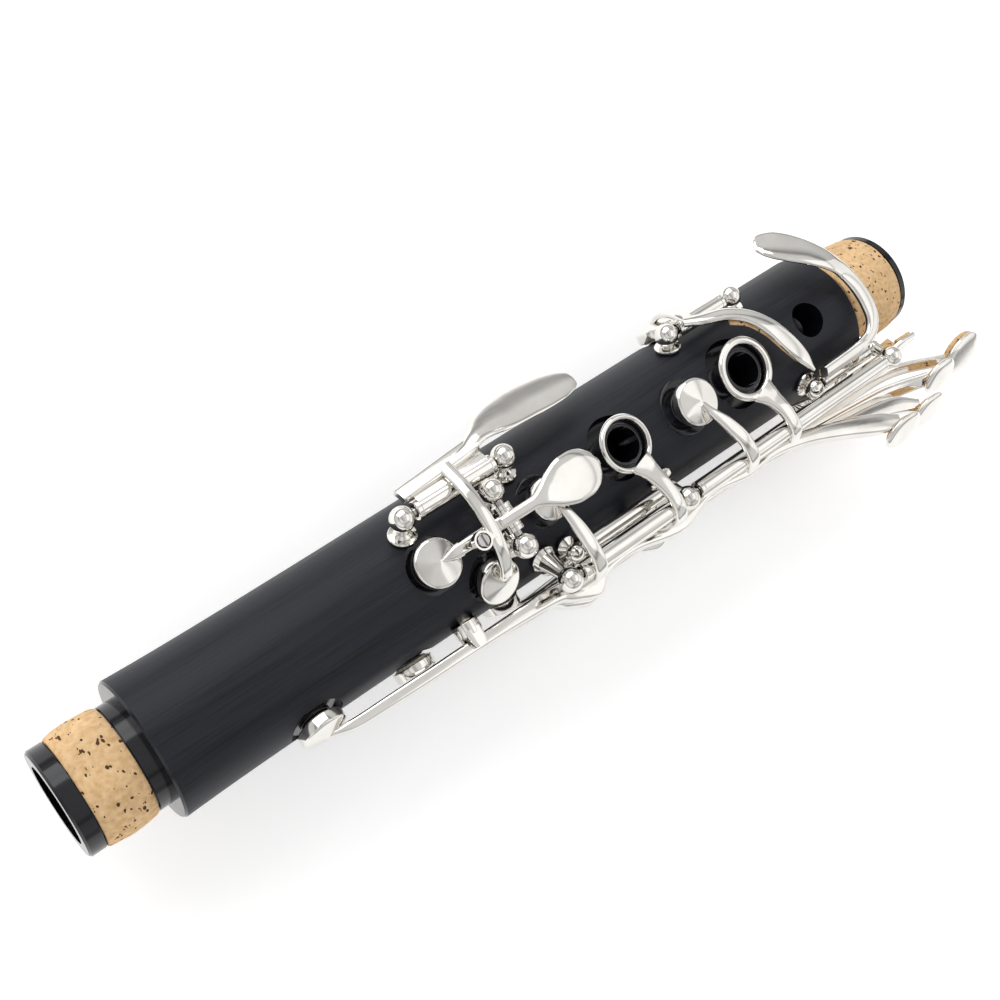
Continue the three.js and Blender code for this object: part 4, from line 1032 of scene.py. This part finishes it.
def make_second_ring_key():
    pad = PADS["middle"]
    top = cup_top(pad) + 1.4
    shell = Shell().add(*ring(SECOND_HOLE, 5.55, 7.3)).add(*cup(pad)).lifted(170)
    link = [
        (149.0, -6, top - 0.55, 1.3, 1.1), (149.5, -12, top + 0.35, 1.9, 1.4),
        (151.4, -22, 23.2, 2.9, 1.7), (153.4, -33, 24.9, 3.1, 1.7), (154.6, -44, 26.1, 3.1, 1.5),
        (155.0, -53, 25.6, 2.9, 1.3),
    ]
    shell.sweep(link)
    hand = [
        (166.6, -21, 19.15, 6.6, 1.1, -8), (167.6, -28, 20.8, 4.4, 1.4, -14),
        (168.4, -37, 23.8, 3.3, 1.7), (168.9, -45, 25.8, 3.1, 1.6), (169.0, -53, 25.7, 2.9, 1.3),
    ]
    shell.sweep(hand)
    lever = [
        (197.0, -50, 22.8, 2.3, 1.9), (200.4, -56, 21.7, 2.5, 1.5), (205.4, -60, 20.9, 2.7, 1.4),
        (209.6, -56, 20.9, 2.9, 1.4), (213.0, -52, 21.2, 2.9, 1.3), (217.3, -51, 21.4, 2.1, 1.1),
    ]
    shell.sweep(lever, 7, 4.0)
    shell.add(*line_tube(RING_LINE, 139.5, 202.3))
    block = [(208.9, -55.6, 19.3, 3.3, 2.6), (211.5, -53.8, 19.4, 3.3, 2.6)]
    shell.sweep(block, 3, 8.0, finish=1)
    lining = [(212.2, -52.6, 20.2, 2.6, 0.9), (216.8, -51, 20.5, 2.0, 0.8)]
    shell.sweep(lining, 4, 4.0, finish=1)
    piece("second_ring_key_forged", shell, [SILVER, CORK], "second_ring_body", "second_ring_key")
    skin = Shell().add(*pad_shell(pad)).lifted(170)
    piece("second_ring_pad_skin", skin, [PAD], "second_ring_body", "second_ring_pad")


def make_thumb_ring_key():
    shell = Shell()
    face = 17.9
    profile = [
        (6.0, face), (7.3, face), (7.6, face + 0.35), (7.6, face + 0.9), (7.25, face + 1.3),
        (6.8, face + 1.38), (6.3, face + 1.25), (6.0, face + 0.9), (6.0, face),
    ]
    shell.add(*lathe(rounded(profile, 0.2), Vector((THUMB_HOLE["x"], -0.8, 0)), at(0, 180, 1), 72))
    strap = [
        (127.4, -47, 19.8, 3.1, 1.3), (127.4, -57, 18.2, 3.1, 1.3), (127.6, -68, 16.9, 3.3, 1.0),
        (127.6, -90, 16.5, 3.3, 0.95), (127.4, -112, 16.6, 3.5, 0.95),
        (126.4, -130, 17.4, 3.7, 1.1), (125.0, -147, 18.9, 3.9, 1.2, -160),
        (123.4, -158, 19.6, 4.1, 1.2, 180), (121.8, -164, 19.1, 4.1, 1.1, 180),
    ]
    shell.sweep(strap, 7, 4.0)
    shell.add(*line_tube(INNER_LINE, 111.0, 134.2, SMALL_TUBE_RADIUS, 1.0))
    piece("thumb_ring_key_forged", shell, [SILVER], "thumb_ring_body", "thumb_ring_key")


def make_csharp_key():
    pad = PADS["csharp"]
    shell = Shell()
    strap = [
        (184.7, -33.5, 20.9, 2.9, 2.1), (192.0, -33.4, 20.8, 2.9, 2.1),
        (198.4, -33.0, 20.5, 3.0, 2.1), (202.6, -30.0, 20.0, 3.3, 2.0),
        (204.8, -22, 19.3, 3.7, 1.9), (205.4, -10, 18.7, 3.9, 1.8), (205.3, 6, 18.4, 3.9, 1.8),
        (203.8, 18, 19.6, 4.3, 1.7, 12), (201.2, 25.5, 21.6, 5.1, 1.6, 16),
        (198.2, 34, 23.0, 6.7, 1.6, 18), (195.0, 42.5, 24.2, 8.1, 1.5, 20),
        (192.0, 49.0, 25.4, 8.3, 1.4, 22), (189.8, 53.0, 26.1, 6.7, 1.3, 24),
        (188.6, 54.8, 26.5, 4.4, 1.1, 24), (188.2, 55.5, 26.7, 2.1, 0.8, 24),
    ]
    shell.sweep(strap, 8, 2.6, 28)
    bar = [(199.4, -33.2, 20.5, 2.9, 2.1), (184.6, -33.5, 20.9, 2.9, 2.1)]
    shell.sweep(bar, 5, 7.0)
    web = [(196.0, -34, 20.2, 3.4, 1.3), (196.0, -44, 20.0, 3.4, 1.3)]
    shell.sweep(web, 3, 5.0)
    stop = [(184.9, -34.4, 19.55, 2.2, 0.7, -33.5), (187.0, -34.4, 19.55, 2.2, 0.7, -33.5)]
    shell.sweep(stop, 2, 8.0, finish=1)
    link = [
        (192.0, -48, 20.0, 3.1, 1.4), (192.0, -58, 19.8, 3.1, 1.3), (192.0, -72, 19.0, 2.9, 1.2),
        (192.0, -88, 18.5, 2.5, 1.2), (192.0, -98, 18.6, 2.1, 1.1),
        (192.0, pad["angle"], cup_top(pad) - 0.55, 1.4, 1.0),
    ]
    shell.sweep(link)
    shell.add(*cup(pad))
    shell.add(*line_tube(INNER_LINE, 186.7, 203.2, SMALL_TUBE_RADIUS, 1.0))
    piece("csharp_key_forged", shell, [SILVER, CORK], "csharp_key_body", "csharp_key")


def make_sliver_key():
    pad = PADS["sliver"]
    shell = Shell()
    blade = [
        (160.2, 45, 21.2, 2.9, 1.7), (163.4, 38, 21.6, 3.1, 1.7), (168.4, 32, 21.8, 3.3, 1.7),
        (172.2, 23, 21.8, 3.5, 1.6), (174.9, 11, 21.6, 4.1, 1.5), (177.2, -3, 21.2, 4.3, 1.4),
        (179.4, -16, 21.0, 3.3, 1.3), (181.6, -27.4, 20.8, 0.8, 0.7),
    ]
    shell.sweep(blade, 8, 2.8)
    strip = [
        (168.8, 29, 20.6, 2.6, 0.9), (172.2, 22, 20.6, 3.0, 0.9), (174.9, 11, 20.4, 3.5, 0.9),
        (177.2, -3, 20.1, 3.7, 0.9), (179.2, -15, 20.0, 2.6, 0.8), (180.6, -22, 20.0, 0.9, 0.6),
    ]
    shell.sweep(strip, 6, 2.8, finish=1)
    link = [
        (162.0, 46, 20.8, 3.1, 1.5), (162.0, 58, 20.9, 2.9, 1.5), (162.0, 70, 20.4, 2.5, 1.4),
        (162.0, pad["angle"], cup_top(pad) - 0.55, 1.4, 1.0),
    ]
    shell.sweep(link)
    shell.add(*cup(pad))
    shell.add(*line_tube(SLIVER_LINE, 159.6, 174.0))
    piece("sliver_key_forged", shell, [SILVER, CORK], "sliver_key_body", "sliver_key")


def make_register_key():
    pad = PADS["register"]
    shell = Shell()
    middle = at(REGISTER_HINGE[0], 180, REGISTER_HINGE[1])
    half = Vector((0, 3.4, 0))
    shell.add(*straight_tube(middle - half, middle + half, 1.88, 1.3))
    lever = [
        (pad["x"], 180, cup_top(pad) - 0.55, 1.4, 1.0), (55.5, 180, 19.8, 2.5, 1.4),
        (62, 180, 20.9, 2.9, 1.6), (76, 180, 21.4, 3.3, 1.7), (88, 180, 21.2, 3.3, 1.6),
        (96, 180, 21.6, 4.9, 1.5), (102, 180, 22.2, 7.9, 1.4), (106.4, 180, 22.0, 7.5, 1.4),
        (108.9, 180, 21.4, 2.8, 1.1),
    ]
    shell.sweep(lever, 8, 2.6, 26)
    shell.add(*cup(pad))
    piece("register_key_forged", shell, [SILVER], "register_key_body", "register_key")


# Each side key: its pair, offset, pad, the [x, height, offset, width, thickness] of the sections
# of its upper and lower arms, and its oval touch.
SIDE_KEYS = [
    {
        "pair": UPPER_PAIR,
        "offset": PAIR_OFFSET,
        "pad": "side1",
        "upper": [
            (51.5, 18.6, 2.4, 3.2, 2.2), (60, 19.0, 2.8, 3.2, 2.5), (70, 19.3, 2.7, 3.2, 2.7),
            (81, 19.5, 2.5, 3.2, 2.9), (94, 19.9, 2.5, 3.2, 3.4), (103, 20.4, 2.4, 3.2, 4.4),
        ],
        "lower": [
            (117, 21.2, 2.4, 3.2, 3.6), (124, 21.4, 2.4, 3.2, 2.8), (136.5, 23.0, 2.4, 3.2, 4.2),
            (148, 21.0, 2.4, 3.2, 2.8), (159, 22.0, 2.4, 3.2, 3.6), (168, 21.9, 2.4, 3.2, 3.0),
            (178, 23.8, 2.4, 3.2, 3.4), (188, 27.2, 2.4, 3.2, 4.4), (198, 31.2, 2.0, 3.2, 5.2),
            (203, 33.2, 1.6, 3.0, 3.4),
        ],
        "touch": (203.3, -34.4, 9.2, -47, 6.4, 4.3, 3),
    },
    {
        "pair": UPPER_PAIR,
        "offset": -PAIR_OFFSET,
        "pad": "side2",
        "upper": [
            (75, 18.8, -3.6, 3.2, 2.2), (84, 19.4, -3.0, 3.2, 2.4), (96, 20.4, -2.2, 3.2, 2.6),
            (103.5, 20.4, -2.4, 3.2, 4.0),
        ],
        "lower": [
            (117, 21.2, -2.4, 3.2, 3.6), (126, 21.4, -2.4, 3.2, 2.8), (150, 21.4, -2.4, 3.2, 2.8),
            (170, 22.0, -2.4, 3.2, 3.0), (181, 23.6, -2.4, 3.2, 3.2), (192, 26.4, -2.6, 3.2, 3.6),
            (203, 28.0, -2.9, 3.2, 4.2), (210, 29.8, -3.0, 3.2, 4.6), (215, 32.8, -2.6, 3.0, 3.2),
        ],
        "touch": (216.3, -34.6, 6.2, -47, 6.0, 4.2, 4),
    },
    {
        "pair": LOWER_PAIR,
        "offset": PAIR_OFFSET,
        "pad": "side3",
        "upper": [
            (101, 18.8, 1.6, 3.2, 2.2), (118, 19.0, 1.6, 3.2, 2.8), (129.5, 20.2, 2.4, 3.2, 4.0),
        ],
        "lower": [
            (143, 21.2, 2.4, 3.2, 3.4), (154, 21.2, 2.4, 3.2, 2.8), (172, 22.2, 2.4, 3.2, 2.8),
            (188, 24.4, 2.4, 3.2, 3.0), (204, 25.6, 3.6, 3.2, 3.4), (216, 26.2, 6.4, 3.2, 3.8),
            (226, 27.4, 10.4, 3.0, 3.2),
        ],
        "touch": (228.4, -30.0, 2.8, -44, 6.0, 4.3, 8),
    },
    {
        "pair": LOWER_PAIR,
        "offset": -PAIR_OFFSET,
        "pad": "side4",
        "upper": [(124, 18.8, -2.6, 3.2, 2.2), (130, 20.0, -2.4, 3.2, 3.4)],
        "lower": [
            (143, 21.2, -2.4, 3.2, 3.4), (154, 21.2, -2.4, 3.2, 2.8), (172, 22.2, -2.4, 3.2, 2.8),
            (192, 24.6, -2.6, 3.2, 3.0), (210, 24.2, -1.8, 3.2, 3.2), (224, 24.2, 0.6, 3.2, 3.4),
            (237, 27.2, 7.4, 3.0, 3.2),
        ],
        "touch": (241.6, -29.2, 0.2, -40, 7.0, 5.0, 14),
    },
]


def make_side_key(number, key):
    """One see-saw side key: cup, flat lever on its edge, pivot boss and oval touch."""
    pair = key["pair"]
    pad = PADS[key["pad"]]
    offset = key["offset"]
    shell = Shell()
    eye = [
        (pair["x"] - 4.5, pair["height"] + 2.4, offset, 3.2, 6.0),
        (pair["x"], pair["height"] + 2.7, offset, 3.2, 9.0),
        (pair["x"] + 3, pair["height"] + 2.4, offset, 3.2, 6.0),
    ]
    path = []
    for x, height, side, width, thick in key["upper"] + eye + key["lower"]:
        path.append(pair_section(pair, x, height, side, width - 0.05, thick - 0.1))
    tip = section(pad["x"], pad["angle"], cup_top(pad) - 0.65, 1.3, 1.0)
    shell.add(*arm([tip] + path, 6, 5.0, 20))
    shell.add(*cup(pad))
    x, y, z, facing, long, short, lean = key["touch"]
    centre = Vector((x, y, z))
    out = at(0, facing, 1)
    shell.add(*oval(centre + out * 0.1, facing, long - 0.12, short - 0.12, 1.5, lean, 0.38))
    shrink = 0.3 if number == 4 else 1.3
    depth = 1.7 if number == 4 else 0.9
    middle = centre - out * (0.4 + depth / 2)
    sheet = oval(middle, facing, long - shrink, short - shrink, depth, lean, 0.2)
    shell.add(*sheet, 1)
    body = f"side_key_{number}_body"
    piece(f"side_key_{number}_forged", shell, [SILVER, CORK], body, f"side_key_{number}")


def make_pads():
    """The pads of the keys that rest closed."""
    names = ("gsharp", "a", "csharp", "sliver", "register")
    closed = [(name, f"{name}_key_body", f"{name}_pad") for name in names]
    closed += [(f"side{n}", f"side_key_{n}_body", f"side_pad_{n}") for n in range(1, 5)]
    for name, body, node in closed:
        piece(node + "_skin", Shell().add(*pad_shell(PADS[name])), [PAD], body, node)


def make_springs():
    """The flat spring under the register key."""
    path = [(79, 180, 18.2, 1.75, 0.36), (85, 180, 17.5, 1.75, 0.36), (91, 180, 16.5, 1.55, 0.36)]
    shell = Shell().sweep(path, 6, 6.0)
    piece("register_spring_strip", shell, [STEEL], "register_key_body", "register_spring")


# ---- floor, light and camera
FLOOR_SIZE = 6.0
FLOOR_DROP = 0.002


def make_stage():
    """A plain pale floor just under the lowest key."""
    low = min(cad_box[0][2], cad_box[1][2])
    half = FLOOR_SIZE / 2
    mesh = bpy.data.meshes.new("floor")
    corners = [(-half, -half), (half, -half), (half, half), (-half, half)]
    mesh.from_pydata([(x, y, low - FLOOR_DROP) for x, y in corners], [], [(0, 1, 2, 3)])
    floor = bpy.data.objects.new("floor", mesh)
    bpy.context.scene.collection.objects.link(floor)
    material, shader, add, link = new_material("studio_paper")
    fibre = noise(add, object_coordinates(add), 900.0, 3.0)
    link(ramp(add, fibre, [(0.3, grey(0.90)), (0.7, grey(0.93))]), "Base Color")
    shader.inputs["Roughness"].default_value = 0.9
    shader.inputs["Emission Color"].default_value = (1, 1, 1, 1)
    shader.inputs["Emission Strength"].default_value = 0.34
    mesh.materials.append(material)


def add_light(name, place, size, power):
    """A soft rectangular studio light, aimed at the middle of the part."""
    light = bpy.data.lights.new(name, "AREA")
    light.shape = "RECTANGLE"
    light.size, light.size_y = size
    light.energy = power
    made = bpy.data.objects.new(name, light)
    made.location = place
    made.rotation_euler = (LIGHTS_AIM - Vector(place)).to_track_quat("-Z", "Y").to_euler()
    bpy.context.scene.collection.objects.link(made)


LIGHTS_AIM = Vector((0.115, 0, 0))
# Brightness of the surroundings by height, from level to overhead, and from one side to the other.
HEIGHTS = [
    (0.0, 0.85), (0.05, 0.48), (0.13, 0.50), (0.22, 0.90),
    (0.56, 0.85), (0.66, 0.28), (0.74, 0.85), (1.0, 0.95),
]
SIDES = [(0.0, 0.95), (0.24, 0.9), (0.36, 0.5), (0.48, 0.95), (0.80, 1.0), (1.0, 0.7)]
WORLD_STRENGTH = 0.85


def make_lights():
    """Three soft lights and surroundings with broad bright and grey bands."""
    add_light("key_light", (0.05, 0.78, 0.62), (1.1, 0.7), 5.6)
    add_light("fill_light", (-0.55, -0.45, 0.55), (1.1, 1.1), 0.9)
    add_light("rim_light", (0.75, -0.25, 0.55), (0.8, 1.2), 1.5)
    world = bpy.data.worlds.new("studio")
    bpy.context.scene.world = world
    world.use_nodes = True
    tree = world.node_tree
    background = tree.nodes["Background"]
    place = tree.nodes.new("ShaderNodeTexCoord")
    split = tree.nodes.new("ShaderNodeSeparateXYZ")
    tree.links.new(place.outputs["Generated"], split.inputs[0])
    across = tree.nodes.new("ShaderNodeMapRange")
    across.inputs["From Min"].default_value = -1
    tree.links.new(split.outputs["X"], across.inputs["Value"])
    mixed = tree.nodes.new("ShaderNodeMix")
    mixed.data_type = "RGBA"
    mixed.blend_type = "MULTIPLY"
    mixed.inputs[0].default_value = 1
    for socket, source, levels in ((6, split.outputs["Z"], HEIGHTS), (7, across.outputs[0], SIDES)):
        shade = tree.nodes.new("ShaderNodeValToRGB")
        tree.links.new(source, shade.inputs["Fac"])
        set_stops(shade.color_ramp, [(position, grey(level)) for position, level in levels])
        tree.links.new(shade.outputs["Color"], mixed.inputs[socket])
    tree.links.new(mixed.outputs[2], background.inputs["Color"])
    background.inputs["Strength"].default_value = WORLD_STRENGTH


CAMERA_PLACE = Vector((-0.0169, 0.0119, 0.2511))
CAMERA_FORWARD = Vector((0.440, -0.031, -0.897))
CAMERA_UP = Vector((0.484, 0.850, 0.208))
FOCAL_LENGTH = 47.33


def make_camera():
    """The camera, looking down along the bore from above the barrel end."""
    forward = CAMERA_FORWARD.normalized()
    right = forward.cross(CAMERA_UP).normalized()
    up = right.cross(forward).normalized()
    data = bpy.data.cameras.new("camera")
    data.lens = FOCAL_LENGTH
    data.sensor_width = 36
    data.clip_start = 0.01
    camera = bpy.data.objects.new("camera", data)
    turn = Matrix((right, up, -forward)).transposed().to_4x4()
    camera.matrix_world = Matrix.Translation(CAMERA_PLACE) @ turn
    bpy.context.scene.collection.objects.link(camera)
    bpy.context.scene.camera = camera


# ---- assembly
make_camera()
make_body()
make_cork("barrel_cork_sheet", UPPER_CORK, UPPER_SEAT, 11.2, 11.9, "barrel_tenon_cork")
make_cork("middle_cork_sheet", LOWER_CORK, LOWER_SEAT, 12.3, 12.85, "middle_tenon_cork")
make_body_fittings()
make_posts()
make_rods()
make_guide()
make_saddles()
make_gsharp_key()
make_a_key()
make_first_ring_key()
make_second_ring_key()
make_thumb_ring_key()
make_csharp_key()
make_sliver_key()
make_register_key()
for number, key in enumerate(SIDE_KEYS, 1):
    make_side_key(number, key)
make_pads()
make_springs()
make_stage()
make_lights()
bpy.context.scene.view_settings.view_transform = "Standard"
bpy.context.view_layer.update()
